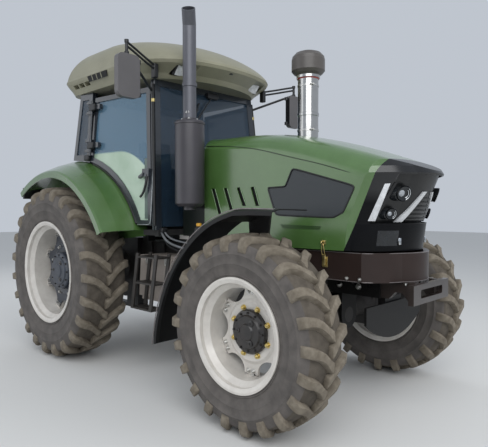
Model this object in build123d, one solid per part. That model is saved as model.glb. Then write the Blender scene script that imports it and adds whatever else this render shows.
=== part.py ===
"""Farm tractor with enclosed cab, tilting hood, steered driven front axle and rear linkage.

Millimetres. +X is the travel direction, +Y the left side, +Z up, wheels on Z = 0.
Pieces are drawn with X counted from the rear axle and moved together at the end, so
that the origin lies under the middle of the tractor.
"""
import os
from math import atan2, cos, radians, sin, sqrt

from build123d import *

# ---------------------------------------------------------------- driving sizes
WHEELBASE = 2650.0
REAR_REACH = 1200.0           # rear axle to the ends of the lower links
NOSE_REACH = 885.0            # front axle to the tip of the hood
TRACK_FRONT, TRACK_REAR = 1860.0, 1820.0

TYRE_F_RADIUS, TYRE_F_WIDTH, RIM_F_RADIUS = 665.0, 378.0, 381.0
TYRE_R_RADIUS, TYRE_R_WIDTH, RIM_R_RADIUS = 855.0, 467.0, 508.0
AXLE_F_X, AXLE_F_Z, AXLE_R_Z = WHEELBASE, TYRE_F_RADIUS, TYRE_R_RADIUS

KINGPIN_Y = 700.0             # steering axis, each side
YOKE_GAP = 240.0              # clear height between the two arms of a yoke
STEER_ARM = 260.0

FRAME_LIFT, FRAME_DEPTH = 325.0, 200.0           # above the front axle; height of the plate
FRAME_HALF, FRAME_PLATE = 420.0, 35.0
FRAME_BOTTOM, FRAME_TOP = AXLE_F_Z + FRAME_LIFT, AXLE_F_Z + FRAME_LIFT + FRAME_DEPTH

COWL_HALF, COWL_TOP, COWL_FRONT_X = 405.0, 2036.0, 1600.0
HOOD_REAR_X, HOOD_WALL = COWL_FRONT_X + 40, 8.0
HOOD_BOTTOM = FRAME_TOP + 10
HOOD_HINGE_X, HOOD_HINGE_Z = COWL_FRONT_X + 18, COWL_TOP + 26

ENGINE_X0, ENGINE_X1, ENGINE_HALF = COWL_FRONT_X + 60, AXLE_F_X - 320, 240.0

CAB_FRONT_X, CAB_FRONT_HALF = 1290.0, 700.0      # foot of the front pillar
CAB_REAR_X, CAB_REAR_HALF = -60.0, 860.0         # foot of the rear pillar
CAB_LEAN = 0.0655             # how far the sides lean in, per unit of height
SCREEN_LEAN = 0.0786          # how far the windscreen leans back, per unit of height
REAR_LEAN = 0.11
FLOOR_LIFT, FLOOR_THICK = 395.0, 50.0            # rear axle to the underside of the floor
FLOOR_BOTTOM, FLOOR_TOP = AXLE_R_Z + FLOOR_LIFT, AXLE_R_Z + FLOOR_LIFT + FLOOR_THICK
CAB_FOOT = FLOOR_TOP + 20                        # height at which the cab plan is given
CAB_HEIGHT = 1368.0                              # floor to the underside of the roof
ROOF_BOTTOM = FLOOR_TOP + CAB_HEIGHT
ROOF_RISE, ROOF_HALF, ROOF_REAR_X, ROOF_FRONT_X = 438.0, 850.0, -190.0, 1580.0
ROOF_RIM = 130.0                                 # underside of the roof to its widest line
DOOR_BOTTOM, DOOR_TOP = FLOOR_TOP + 40, ROOF_BOTTOM - 68
DOOR_HINGE_X, DOOR_FRONT_GAP = 325.0, 62.0
DOOR_HINGES = (DOOR_TOP - 100, DOOR_TOP - 480)
DOOR_RAIL, DOOR_THICK, GLASS = 46.0, 30.0, 6.0
HINGE_OFFSET = 42.0           # door hinge line, outside the side plane

SHOULDER = TYRE_R_RADIUS + 273                   # raised inner part of the rear fender
DOOR_ARC = SHOULDER + 24
FENDER_IN, FENDER_OUT, FENDER_WALL = 622.0, 1100.0, 10.0
FIT = 0.3                     # gap between pieces that lie against each other
CLEAR = 8.0                   # gap between a moving piece and what it passes

MIDDLE = (WHEELBASE + NOSE_REACH - REAR_REACH) / 2


# ---------------------------------------------------------------- drawing helpers
def box(x0, x1, y0, y1, z0, z1):
    return Pos((x0 + x1) / 2, (y0 + y1) / 2, (z0 + z1) / 2) * Box(x1 - x0, y1 - y0, z1 - z0)


def outline(first, *legs):
    """Closed wire: a leg is the point a line runs to, or a pair (through, end) for an arc."""
    here, edges = Vector(*first), []
    for leg in (*legs, first):
        if isinstance(leg[0], tuple):
            through, end = Vector(*leg[0]), Vector(*leg[1])
            edges.append(Edge.make_three_point_arc(here, through, end))
        else:
            end = Vector(*leg)
            if (end - here).length > 1e-6:
                edges.append(Edge.make_line(here, end))
        here = end
    return Wire(edges)


def prism(axis, lo, hi, points):
    """Outline across an axis, drawn out from lo to hi: X takes (y, z), Y (x, z), Z (x, y)."""
    put = {"X": lambda a, b: (lo, a, b), "Y": lambda a, b: (a, lo, b), "Z": lambda a, b: (a, b, lo)}
    way = {"X": (1, 0, 0), "Y": (0, 1, 0), "Z": (0, 0, 1)}[axis]
    legs = [tuple(put[axis](*q) for q in p) if isinstance(p[0], tuple) else put[axis](*p) for p in points]
    return extrude(Face(outline(*legs)), amount=hi - lo, dir=way)


def loft_through(sections, ruled=False):
    return Solid.make_loft([s if isinstance(s, Wire) else outline(*s) for s in sections], ruled=ruled)


def rod(start, end, radius):
    start, end = Vector(*start), Vector(*end)
    way = end - start
    return Solid.make_cylinder(radius, way.length, Plane(origin=start, z_dir=way))


def turned_y(x, z, profile):
    """Body turned about a line along Y through (x, z), from (radius, y) points."""
    return revolve(Face(outline(*[(x + r, y, z) for r, y in profile])), axis=Axis((x, 0, z), (0, 1, 0)))


def turned_z(x, y, profile):
    """Body turned about an upright line through (x, y), from (radius, z) points."""
    return revolve(Face(outline(*[(x + r, y, z) for r, z in profile])), axis=Axis((x, y, 0), (0, 0, 1)))


def fuse(*pieces):
    whole = pieces[0]
    for piece in pieces[1:]:
        whole = whole + piece
    return whole


def mirrored(piece):
    return mirror(piece, about=Plane.XZ)


def both(piece):
    return piece, mirrored(piece)


NODES = {}


def node(name, *pieces):
    """Store a sub-part; solids that do not touch stay separate inside it."""
    NODES[name] = Compound(children=[s for p in pieces for s in p.solids()])


def pair(name, piece):
    node(name + "_left", piece)
    node(name + "_right", mirrored(piece))


# ---------------------------------------------------------------- wheels
WELL = 36.0                   # depth of the drop centre below the bead seat


def tyre_profile(radius, half, rim, y):
    """Half of the section is mirrored: bead on the rim, side wall, shoulder, tread."""
    bead, seat = rim - 31, half * 0.86
    side = [(bead + FIT, 0), (bead + FIT, seat), (rim + FIT, seat), (rim + 14, half * 0.93),
            (rim + 0.45 * (radius - rim), half), (radius - 60, half * 0.985), (radius - 8, half * 0.86),
            (radius, half * 0.78), (radius, 0)]
    other = [(r, -o) for r, o in reversed(side)]
    return [(r, y + o) for r, o in side + other[1:-1]]


def rim_barrel(x, z, y, half, rim):
    """Bead seats and flanges either side of a drop centre."""
    seat, bed = half * 0.86 + FIT, rim - 31
    outer = [(rim, seat + 11), (rim, seat), (bed, seat), (bed, seat - 34), (bed - WELL, seat - 66)]
    inner = [(bed - WELL - 9, seat - 62), (rim - 42, seat - 26), (rim - 40, seat + 2), (rim - 14, seat + 11)]
    ring = outer + [(r, -s) for r, s in reversed(outer)]
    ring += [(r, -s) for r, s in reversed(inner)] + inner
    return turned_y(x, z, [(r, y + s) for r, s in ring])


def wheel_disc(x, z, y_out, reach, bore, waves, thick=14.0):
    """Flat plate with ears: the edge swings in between the lugs that carry it."""
    plate = turned_y(x, z, [(bore, y_out - thick), (bore, y_out), (bore + 48, y_out + 9), (bore + 70, y_out),
                            (reach, y_out), (reach, y_out - thick)])
    for i in range(waves):
        bite = rod((x + reach + 0.12 * reach, y_out - 60, z), (x + reach + 0.12 * reach, y_out + 60, z),
                   reach * 0.36)
        plate = plate - bite.rotate(Axis((x, 0, z), (0, 1, 0)), 360 * i / waves)
    return plate


def rim_lugs(x, z, y_out, reach, rim, count):
    """Brackets welded in the drop centre, behind the ears of the disc."""
    lugs = []
    for i in range(count):
        lug = box(x + reach - 52, x + rim - 31 - WELL - 4, y_out - 40, y_out - 14, z - 44, z + 44)
        lug = lug + box(x + reach + 1, x + rim - 31 - WELL - 4, y_out - 40, y_out + 2, z - 44, z + 44)
        lugs.append(lug.rotate(Axis((x, 0, z), (0, 1, 0)), 360 * (i + 0.5) / count))
    return lugs


def hub_drum(x, z, y_out, y_disc, radius, flange, y_back):
    """Planetary drum: stepped cover outside, wheel flange behind the disc."""
    return turned_y(x, z, [(0, y_out), (radius * 0.34, y_out), (radius * 0.40, y_out - 9),
                           (radius * 0.72, y_out - 9), (radius * 0.78, y_out - 20), (radius * 0.95, y_out - 24),
                           (radius, y_out - 34), (radius, y_disc - 14 - FIT), (flange, y_disc - 14 - FIT),
                           (flange, y_disc - 40), (radius * 0.9, y_disc - 62), (radius * 0.9, y_back),
                           (0, y_back)])


HUB_F_R, HUB_F_OUT, DISC_F = 150.0, 60.0, 5.0
HUB_R_R, HUB_R_OUT, DISC_R = 188.0, 96.0, 10.0
FRONT_Y, REAR_Y = TRACK_FRONT / 2, TRACK_REAR / 2
FRONT_HUB_BACK, REAR_HUB_BACK = FRONT_Y + DISC_F - 84, REAR_Y + DISC_R - 104
EAR_F, EAR_R = RIM_F_RADIUS - 88, RIM_R_RADIUS - 92

tyre = turned_y(AXLE_F_X, AXLE_F_Z, tyre_profile(TYRE_F_RADIUS, TYRE_F_WIDTH / 2, RIM_F_RADIUS, FRONT_Y))
pair("front_wheel_tyre", tyre)
pair("front_wheel_rim", fuse(
    rim_barrel(AXLE_F_X, AXLE_F_Z, FRONT_Y, TYRE_F_WIDTH / 2, RIM_F_RADIUS),
    *rim_lugs(AXLE_F_X, AXLE_F_Z, FRONT_Y + DISC_F, EAR_F, RIM_F_RADIUS, 6),
    wheel_disc(AXLE_F_X, AXLE_F_Z, FRONT_Y + DISC_F, EAR_F, HUB_F_R + FIT, 6)))
pair("front_wheel_hub", hub_drum(AXLE_F_X, AXLE_F_Z, FRONT_Y + HUB_F_OUT, FRONT_Y + DISC_F, HUB_F_R,
                                 HUB_F_R + 42, FRONT_HUB_BACK))
tyre = turned_y(0, AXLE_R_Z, tyre_profile(TYRE_R_RADIUS, TYRE_R_WIDTH / 2, RIM_R_RADIUS, REAR_Y))
pair("rear_wheel_tyre", tyre)
pair("rear_wheel_rim", fuse(
    rim_barrel(0, AXLE_R_Z, REAR_Y, TYRE_R_WIDTH / 2, RIM_R_RADIUS),
    *rim_lugs(0, AXLE_R_Z, REAR_Y + DISC_R, EAR_R, RIM_R_RADIUS, 8)))
pair("rear_wheel_hub", fuse(
    hub_drum(0, AXLE_R_Z, REAR_Y + HUB_R_OUT, REAR_Y + DISC_R, HUB_R_R, HUB_R_R + 70, REAR_HUB_BACK),
    wheel_disc(0, AXLE_R_Z, REAR_Y + DISC_R - FIT, EAR_R - FIT, HUB_R_R - 2, 8, 14 - 2 * FIT)))

# ---------------------------------------------------------------- front axle and steering
YOKE_TOP, YOKE_BOTTOM = AXLE_F_Z + YOKE_GAP / 2, AXLE_F_Z - YOKE_GAP / 2
YOKE_ARM, YOKE_EYE, AXLE_TUBE = 62.0, 62.0, 85.0
SWIVEL, NECK = 105.0, 110.0
YOKE_BACK = KINGPIN_Y - SWIVEL - 50              # outer face of the yoke's web
AXLE_PIN, PIN_REACH = 60.0, 175.0


def yoke():
    """Fork at the end of the axle tube, with an arm above and below the knuckle."""
    x, y = AXLE_F_X, KINGPIN_Y
    arms = []
    for z0, z1 in ((YOKE_TOP, YOKE_TOP + YOKE_ARM), (YOKE_BOTTOM - YOKE_ARM, YOKE_BOTTOM)):
        arms.append(prism("Z", z0, z1, [(x - 95, YOKE_BACK - 25), (x + 95, YOKE_BACK - 25), (x + YOKE_EYE, y),
                                        ((x, y + YOKE_EYE), (x - YOKE_EYE, y))]))
        cap = z1 if z1 > AXLE_F_Z else z0
        arms.append(Pos(x, y, cap) * Cylinder(42, 24))
    back = box(x - 95, x + 95, YOKE_BACK - 45, YOKE_BACK, YOKE_BOTTOM - YOKE_ARM, YOKE_TOP + YOKE_ARM)
    return fuse(*arms, back)


def front_axle():
    """Tube that thickens to the final drives and to the bevel housing in the middle."""
    x, z, end = AXLE_F_X, AXLE_F_Z, YOKE_BACK - 20
    half = [(0, end), (AXLE_TUBE + 22, end), (AXLE_TUBE, end - 110), (AXLE_TUBE, 270), (118, 190), (155, 120)]
    beam = turned_y(x, z, half + [(r, -y) for r, y in reversed(half)])
    pins = rod((x - PIN_REACH, 0, z), (x + PIN_REACH, 0, z), AXLE_PIN)
    return fuse(beam, pins, yoke(), mirrored(yoke()))


def knuckle():
    """Swivel housing between the yoke arms, with the steering arm."""
    x, z, y = AXLE_F_X, AXLE_F_Z, KINGPIN_Y
    core = Pos(x, y, z) * Cylinder(SWIVEL, YOKE_GAP - 2 * FIT)
    neck = rod((x, y, z), (x, FRONT_HUB_BACK - FIT, z), NECK)
    arm = prism("Z", z - 100, z - 70, [(x, y - 50), (x - STEER_ARM, y - 30), ((x - STEER_ARM - 30, y),
                                       (x - STEER_ARM, y + 30)), (x, y + 50)])
    return fuse(core, neck, arm)


def tie_rod():
    x, z = AXLE_F_X - STEER_ARM, AXLE_F_Z - 70 + FIT
    ends = [Pos(x, s * KINGPIN_Y, z + 25) * Cylinder(28, 50) for s in (-1, 1)]
    return fuse(rod((x, -KINGPIN_Y, z + 25), (x, KINGPIN_Y, z + 25), 20), *ends)


FENDER_F_IN, FENDER_F_OUT = KINGPIN_Y + 60, FRONT_Y + 170
# angle about the axle, radius of the guard's crown beyond the tyre: flat tip, then a long skirt
FENDER_F_STATIONS = [(68, 224), (80, 177), (91, 160), (107, 125), (122, 103), (137, 97), (152, 111),
                     (167, 143), (181, 193), (194, 255)]


def arc_point(x, z, angle, radius, y):
    return (x + radius * cos(radians(angle)), y, z + radius * sin(radians(angle)))


def front_fender():
    """Thin pressed guard over the front tyre, and the post on the knuckle that carries it."""
    x, z = AXLE_F_X, AXLE_F_Z

    def section(angle, rise):
        r = TYRE_F_RADIUS + rise
        rim = [(r - 6, FENDER_F_IN), (r, FENDER_F_OUT - 60), (r - 16, FENDER_F_OUT), (r - 46, FENDER_F_OUT),
               (r - 24, FENDER_F_OUT - 6), (r - 8, FENDER_F_OUT - 62), (r - 14, FENDER_F_IN)]
        return [arc_point(x, z, angle, q, y) for q, y in rim]
    tip = loft_through([section(*s) for s in FENDER_F_STATIONS[:3]], ruled=True)
    guard = fuse(tip, loft_through([section(*s) for s in FENDER_F_STATIONS[2:]]))
    post_in, post_out = KINGPIN_Y + 4, KINGPIN_Y + 22
    (a0, r0), (a1, r1) = [(a, TYRE_F_RADIUS + r) for a, r in FENDER_F_STATIONS[2:4]]
    shelf = loft_through([[arc_point(x, z, a, r - 15.5 - d, y)
                           for y, d in ((post_in, 0), (FENDER_F_OUT - 90, -6.6), (FENDER_F_OUT - 90, 6),
                                        (post_in, 12))] for a, r in ((a0, r0), (a1, r1))], ruled=True)
    ends = [arc_point(x, z, a, r - 24, 0) for a, r in ((a0, r0), (a1, r1))]
    post = prism("Y", post_in, post_out, [(x - 176, z + 20), (x - 120, z + 20), (ends[0][0], ends[0][2]),
                                          (ends[1][0], ends[1][2])])
    foot = box(x - 176, x - 60, KINGPIN_Y - 34, post_in, z + 20, z + 100)
    return guard, fuse(shelf, post, foot)


node("front_axle", front_axle())
node("tie_rod", tie_rod())
GUARD, POST = front_fender()
pair("knuckle", fuse(knuckle(), POST))
pair("front_fender", GUARD)


# ---------------------------------------------------------------- chassis
def wrap_plan(half, corner, x34, x2, nose, rear, inset=0.0):
    """Plan of the plate that wraps the front: side rails, corner arcs and a bowed nose."""
    h, c = half - inset, corner - inset * 0.3
    left = [(rear, h), (c, h), ((x34 - inset * 0.8, 0.786 * half - inset * 0.6), (x2 - inset * 0.95, 0.47 * half
                                                                                  - inset * 0.3))]
    right = [((nose - inset, 0), (x2 - inset * 0.95, -(0.47 * half - inset * 0.3))),
             ((x34 - inset * 0.8, -(0.786 * half - inset * 0.6)), (c, -h)), (rear, -h)]
    return left + right


FRAME_REAR_X = AXLE_F_X - 400
CORNER_X, NOSE_34_X, NOSE_2_X, NOSE_X = AXLE_F_X + 530, AXLE_F_X + 640, AXLE_F_X + 712, AXLE_F_X + 780
SADDLE_DROP, SADDLE_END = 130.0, AXLE_F_X + 540


def front_frame():
    """Cast frame: plate wrapped round the nose, floor, and the saddle that the axle swings in."""
    band = prism("Z", FRAME_BOTTOM, FRAME_TOP,
                 wrap_plan(FRAME_HALF, CORNER_X, NOSE_34_X, NOSE_2_X, NOSE_X, FRAME_REAR_X))
    band = band - prism("Z", FRAME_BOTTOM - 1, FRAME_TOP + 1,
                        wrap_plan(FRAME_HALF, CORNER_X, NOSE_34_X, NOSE_2_X, NOSE_X, FRAME_REAR_X - 1, FRAME_PLATE))
    rails = box(ENGINE_X1 + 10, SADDLE_END, 5 - FRAME_HALF, FRAME_HALF - 5, FRAME_BOTTOM, FRAME_BOTTOM + 40)
    saddle = box(AXLE_F_X - 210, SADDLE_END, -190, 190, FRAME_BOTTOM - SADDLE_DROP, FRAME_BOTTOM)
    saddle = saddle - box(AXLE_F_X - 105, AXLE_F_X + 105, -200, 200, FRAME_BOTTOM - SADDLE_DROP - 1,
                          FRAME_BOTTOM - 40)
    hangers = [fuse(box(x0, x1, -105, 105, AXLE_F_Z, FRAME_BOTTOM - SADDLE_DROP + 10),
                    rod((x0, 0, AXLE_F_Z), (x1, 0, AXLE_F_Z), 105))
               - rod((x0 - 1, 0, AXLE_F_Z), (x1 + 1, 0, AXLE_F_Z), AXLE_PIN + FIT)
               for x0, x1 in ((AXLE_F_X - PIN_REACH, AXLE_F_X - 158), (AXLE_F_X + 158, AXLE_F_X + PIN_REACH))]
    pad = box(FRAME_REAR_X, FRAME_REAR_X + 120, ENGINE_HALF + FIT, FRAME_HALF - 5, FRAME_BOTTOM + 10, FRAME_TOP)
    ribs = [box(x, x + 16, y, y + 40, FRAME_BOTTOM - 60, FRAME_BOTTOM) for x in
            (AXLE_F_X + 210, AXLE_F_X + 330, AXLE_F_X + 450) for y in (188, -228)]
    return fuse(band, rails, saddle, *hangers, *both(pad), *ribs)


BRACKET_X = AXLE_F_X + 835


def tow_bracket():
    """Weight carrier below the nose: two cheeks and a front plate with a hand slot."""
    z0, z1 = FRAME_BOTTOM - 138, FRAME_BOTTOM - 5
    plate = box(BRACKET_X - 40, BRACKET_X, -278, 278, z0, z1)
    plate = plate - fillet(box(BRACKET_X - 50, BRACKET_X + 10, -172, 172, z0 + 38, z1 - 37).edges()
                           .filter_by(Axis.X), 14)
    cheek = box(SADDLE_END + FIT, BRACKET_X - 39, 125, 175, z0 + 10, FRAME_BOTTOM - FIT)
    cheek = cheek - prism("Y", 124, 176, [(SADDLE_END + 60, z0 + 9), (SADDLE_END + 110, z0 + 60),
                                          (BRACKET_X - 130, z0 + 60), (BRACKET_X - 90, z0 + 9)])
    return fuse(plate, *both(cheek))


def axle_guard():
    """Rounded plate ahead of the axle, hung from the saddle."""
    top, low = FRAME_BOTTOM - 170, FRAME_BOTTOM - 425
    plate = prism("X", SADDLE_END + 6, SADDLE_END + 24,
                  [(-405, top), (-405, top - 120), ((0, low), (405, top - 120)), (405, top)])
    stay = box(SADDLE_END - 50, SADDLE_END + 7, -120, 120, top - 60, FRAME_BOTTOM - SADDLE_DROP - FIT)
    return fuse(plate, stay)


node("front_frame", front_frame(), axle_guard())
node("tow_bracket", tow_bracket())
ENGINE_BOTTOM, ENGINE_TOP = 760.0, 1560.0
node("engine", fuse(box(ENGINE_X0, ENGINE_X1, -ENGINE_HALF, ENGINE_HALF, ENGINE_BOTTOM, ENGINE_TOP),
                    box(ENGINE_X0 + 60, ENGINE_X1 - 40, -170, 170, ENGINE_TOP, ENGINE_TOP + 260),
                    prism("Y", -200, 200, [(ENGINE_X0 + 40, ENGINE_BOTTOM), (ENGINE_X0 + 120, ENGINE_BOTTOM - 120),
                                           (ENGINE_X1 - 150, ENGINE_BOTTOM - 120), (ENGINE_X1 - 20, ENGINE_BOTTOM)])))
RADIATOR_X = AXLE_F_X - 130
node("radiator", fuse(box(RADIATOR_X, RADIATOR_X + 100, -330, 330, FRAME_BOTTOM + 40 + FIT, 1800),
                      fillet(box(RADIATOR_X - 10, RADIATOR_X + 110, -330, 330, 1795, 1880).edges()
                             .filter_by(Axis.Y), 25),
                      Pos(RADIATOR_X + 50, -220, 1890) * Cylinder(38, 30)))

CASE_HALF, CASE_TOP = 260.0, AXLE_R_Z + 325      # rear axle housing
HITCH_X = -260.0                                 # its rear face
TRUMPET = [(0, 250), (190, 250), (150, 330), (118, 560), (118, 600), (150, 620), (150, 650), (60, 650)]
CAB_MOUNTS = [box(x, x + 90, y - 45, y + 45, CASE_TOP - 30, FLOOR_BOTTOM - FIT) for x in (1180, 380)
              for y in (-170, 170)]
TOP_PIVOT, TOP_LENGTH = (HITCH_X - 40, AXLE_R_Z + 50), 620.0
TOP_LUGS = [prism("Y", y - 8, y + 8, [(HITCH_X + 18, TOP_PIVOT[1] - 85), (HITCH_X + 18, TOP_PIVOT[1] + 85),
                                      (HITCH_X - 70, TOP_PIVOT[1] + 55), (HITCH_X - 85, TOP_PIVOT[1] - 35)])
            for y in (-36, 36)]
LINK_PIVOT = (HITCH_X + 25, AXLE_R_Z - 375)
LINK_IN, LINK_OUT = 230.0, 435.0
LINK_LUG = prism("Y", LINK_IN - 54, LINK_IN - 25 - FIT, [(LINK_PIVOT[0] - 55, LINK_PIVOT[1] - 50),
                                                        (LINK_PIVOT[0] + 45, LINK_PIVOT[1] - 50),
                                                        (LINK_PIVOT[0] + 125, LINK_PIVOT[1] + 50),
                                                        (LINK_PIVOT[0] - 20, LINK_PIVOT[1] + 160)])
PTO_STUB = rod((HITCH_X + 10, 0, AXLE_R_Z - 155), (HITCH_X - 120, 0, AXLE_R_Z - 155), 17.5)
PTO_GUARD = prism("Y", -95, 95, [(HITCH_X + 5, AXLE_R_Z - 70), (HITCH_X - 115, AXLE_R_Z - 82),
                                 (HITCH_X - 115, AXLE_R_Z - 74), (HITCH_X + 5, AXLE_R_Z - 62)])


def transmission():
    """Gearbox with bell housing, and the rear axle housing with its trumpets and hitch lugs."""
    z, x1 = AXLE_R_Z, ENGINE_X0 - FIT
    gearbox = prism("Y", -215, 215, [(330, z - 235), (1500, z - 215), (x1, z - 255), (x1, z + 335),
                                     (1500, z + 295), (330, z + 295)])
    bell = rod((ENGINE_X0 - 90, 0, z + 25), (x1, 0, z + 25), 288)
    case = prism("Y", -CASE_HALF, CASE_HALF, [(HITCH_X, z - 235), (-160, z - 335), (100, z - 335), (340, z - 295),
                                              (340, CASE_TOP), (-180, CASE_TOP), (HITCH_X, z + 225)])
    arms = [turned_y(0, z, [(r, s * y) for r, y in TRUMPET]
                     + [(60, s * (REAR_HUB_BACK - FIT)), (0, s * (REAR_HUB_BACK - FIT))]) for s in (1, -1)]
    ribs = [box(x, x + 18, -232, 232, z - 140, z + 290) for x in (540, 760, 1100, 1250)]
    return fuse(gearbox, bell, case, *arms, *ribs, *CAB_MOUNTS, *TOP_LUGS, *both(LINK_LUG), PTO_STUB, PTO_GUARD)


node("transmission", transmission())

# ---------------------------------------------------------------- boxes, tank and steps
BOX_OUT = CAB_FRONT_HALF - 5  # outer face of tank and battery box, behind the steps
STEP_LOW, STEP_PITCH, TREAD = 600.0, 230.0, 14.0


def steps(x0, x1, y_out):
    """Three open treads between two slanting side plates."""
    sides = [prism("Y", y, y + TREAD, [(x0 + 20, STEP_LOW), (x0 + 60, STEP_LOW), (x0 + 150, STEP_LOW + 500),
                                       (x0 + 110, STEP_LOW + 500)]) for y in (y_out - 150, y_out - TREAD)]
    sides += [prism("Y", y, y + TREAD, [(x1 - 130, STEP_LOW), (x1 - 90, STEP_LOW), (x1, STEP_LOW + 500),
                                        (x1 - 40, STEP_LOW + 500)]) for y in (y_out - 150, y_out - TREAD)]
    treads = []
    for i in range(3):
        z, shift = STEP_LOW + i * STEP_PITCH, 90 * i * STEP_PITCH / 500
        tread = box(x0 + 20 + shift, x1 - 90 + shift, y_out - 150, y_out, z, z + TREAD)
        slots = [box(x0 + 60 + shift + 68 * k, x0 + 96 + shift + 68 * k, y_out - 125, y_out - 25, z - 1, z + TREAD + 1)
                 for k in range(3)]
        treads.append(tread - fuse(*slots))
    return fuse(*sides, *treads)


def rounded(block, axis, radius):
    return fillet(block.edges().filter_by(axis), radius)


TANK_FEET = [box(x, x + 60, 215 + FIT, 331, AXLE_R_Z + 45, AXLE_R_Z + 145) for x in (960, 1360)]
node("fuel_tank", fuse(rounded(box(905, 1480, 330, BOX_OUT - FIT, 560, 1150), Axis.X, 60),
                       Pos(1180, BOX_OUT - 90, 1160) * Cylinder(48, 40), *TANK_FEET))
BATTERY = prism("Y", -BOX_OUT + FIT, -390, [(1000, 690), (1470, 690), (1480, 1060), (1030, 1060)])
LID = box(1022, 1488, -BOX_OUT + FIT, -385, 1040, 1066)
node("battery_box", fuse(BATTERY, LID, box(1040, 1440, -BOX_OUT + 6, -215 - FIT, 660, 701)))
node("steps", *both(steps(1060, 1480, BOX_OUT + 150)))


# ---------------------------------------------------------------- cab
class Side:
    """The leaning plane of the left cab side: s runs rearwards, up along it, out from it."""
    foot = Vector(CAB_FRONT_X, CAB_FRONT_HALF, CAB_FOOT)
    rear = Vector(CAB_REAR_X, CAB_REAR_HALF, CAB_FOOT)
    along = (rear - foot).normalized()
    out = along.cross(Vector(0, -CAB_LEAN, 1)).normalized()
    out = out if out.Y > 0 else out * -1
    up = out.cross(along).normalized()
    up = up if up.Z > 0 else up * -1


def at(s, z, d=0.0):
    """Point on the left cab side at s behind the front pillar and at height z."""
    base = Side.foot + Side.along * s + Side.out * d
    return base + Side.up * ((z - base.Z) / Side.up.Z)


def panel(points, d0, d1):
    """Flat sheet in the side plane; heights are true at the plane itself."""
    face = Face(Wire.make_polygon([at(s, z) + Side.out * d0 for s, z in points], close=True))
    return Solid.extrude(face, Side.out * (d1 - d0))


def x_to_s(x):
    return (CAB_FRONT_X - x) / -Side.along.X


HINGE_S = x_to_s(DOOR_HINGE_X)


def front_s(z):
    """Front edge of the door opening, parallel to the leaning front pillar."""
    return DOOR_FRONT_GAP + SCREEN_LEAN * (z - CAB_FOOT)


def door_outline(grow=0.0):
    """Door edge, drawn in by 'grow': straight front, sloping arc over the fender."""
    reach, x_rear = DOOR_ARC + grow, DOOR_HINGE_X - 25 + grow
    z_rear = AXLE_R_Z + sqrt(reach ** 2 - x_rear ** 2)
    x_low = sqrt(reach ** 2 - (DOOR_BOTTOM + grow - AXLE_R_Z) ** 2)
    a0, a1 = atan2(z_rear - AXLE_R_Z, x_rear), atan2(DOOR_BOTTOM + grow - AXLE_R_Z, x_low)
    arc = [(x_to_s(reach * cos(a0 + (a1 - a0) * i / 7)), AXLE_R_Z + reach * sin(a0 + (a1 - a0) * i / 7))
           for i in range(8)]
    return [(front_s(DOOR_BOTTOM) + grow, DOOR_BOTTOM + grow), (front_s(DOOR_TOP) + grow, DOOR_TOP - grow),
            (x_to_s(x_rear + 40), DOOR_TOP - grow), *arc]


def door():
    """Welded tube frame, glass bonded in it, outside handle and two hinge eyes."""
    frame = panel(door_outline(), -DOOR_THICK / 2, DOOR_THICK / 2)
    frame = frame - panel(door_outline(DOOR_RAIL), -DOOR_THICK, DOOR_THICK)
    pane = panel(door_outline(DOOR_RAIL + FIT), -GLASS / 2, GLASS / 2)
    z = DOOR_BOTTOM + 440
    s = front_s(z + 35)
    handle = panel([(s + 4, z), (s + 4, z + 70), (s + 90, z + 70), (s + 90, z)], DOOR_THICK / 2 - 4,
                   DOOR_THICK / 2 + 24)
    pull = panel([(s + 70, z + 10), (s + 70, z + 34), (s + 128, z + 2), (s + 122, z - 18)], DOOR_THICK / 2 + 2,
                 DOOR_THICK / 2 + 36)
    eyes = []
    for z in DOOR_HINGES:
        centre = at(HINGE_S, z, HINGE_OFFSET)
        eyes.append(rod(centre - Side.up * 35, centre + Side.up * 35, 16))
        eyes.append(panel([(HINGE_S - 130, z - 25), (HINGE_S - 130, z + 25), (HINGE_S, z + 25),
                           (HINGE_S, z - 25)], DOOR_THICK / 2 - 1, HINGE_OFFSET + 6))
    return fuse(frame, handle, pull, *eyes), pane


def level(piece, z0):
    """Trim a leaning piece flat where it stands at z0 and where it meets the roof."""
    return piece & box(-500, 1700, -1300, 1300, z0, ROOF_BOTTOM - FIT)


def screen_x(z):
    return CAB_FRONT_X - SCREEN_LEAN * (z - CAB_FOOT)


def rear_x(z):
    return CAB_REAR_X + REAR_LEAN * (z - CAB_FOOT)


def cross_panel(z0, z1, x_of, inset, back, front):
    """Panel across the cab that follows the leaning sides, between two heights."""
    def section(z):
        y = at(x_to_s(x_of(z)), z).Y - inset
        return [(x_of(z) - back, -y, z), (x_of(z) - front, -y, z), (x_of(z) - front, y, z), (x_of(z) - back, y, z)]
    return loft_through([section(z0), section(z1)], ruled=True)


def front_pillar():
    """Front corner post with a drip channel along its outer face."""
    z0, z1 = FLOOR_TOP + FIT, ROOF_BOTTOM + 10
    edge = front_s(z0) - DOOR_FRONT_GAP, front_s(z1) - DOOR_FRONT_GAP
    post = panel([(edge[0], z0 - 10), (front_s(z0) - CLEAR, z0 - 10), (front_s(z1) - CLEAR, z1), (edge[1], z1)],
                 -55, 10)
    groove = panel([(edge[0] + 20, z0 - 10), (edge[0] + 32, z0 - 10), (edge[1] + 32, z1), (edge[1] + 20, z1)], 2, 11)
    return level(post - groove, z0)


HEADER_Z = ROOF_BOTTOM - 58
node("cab_front_frame", fuse(*both(front_pillar()), cross_panel(HEADER_Z, ROOF_BOTTOM - FIT, screen_x, 30, 60, 4)))
WINDSCREEN = cross_panel(CAB_FOOT + CLEAR, HEADER_Z - FIT, screen_x, 57, 26, 18)

REAR_SILL = AXLE_R_Z + SHOULDER + 6
QUARTER_Z = (REAR_SILL + 51, DOOR_TOP)
B_S0, B_S1 = x_to_s(DOOR_HINGE_X - 40), x_to_s(DOOR_HINGE_X - 93)


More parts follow.
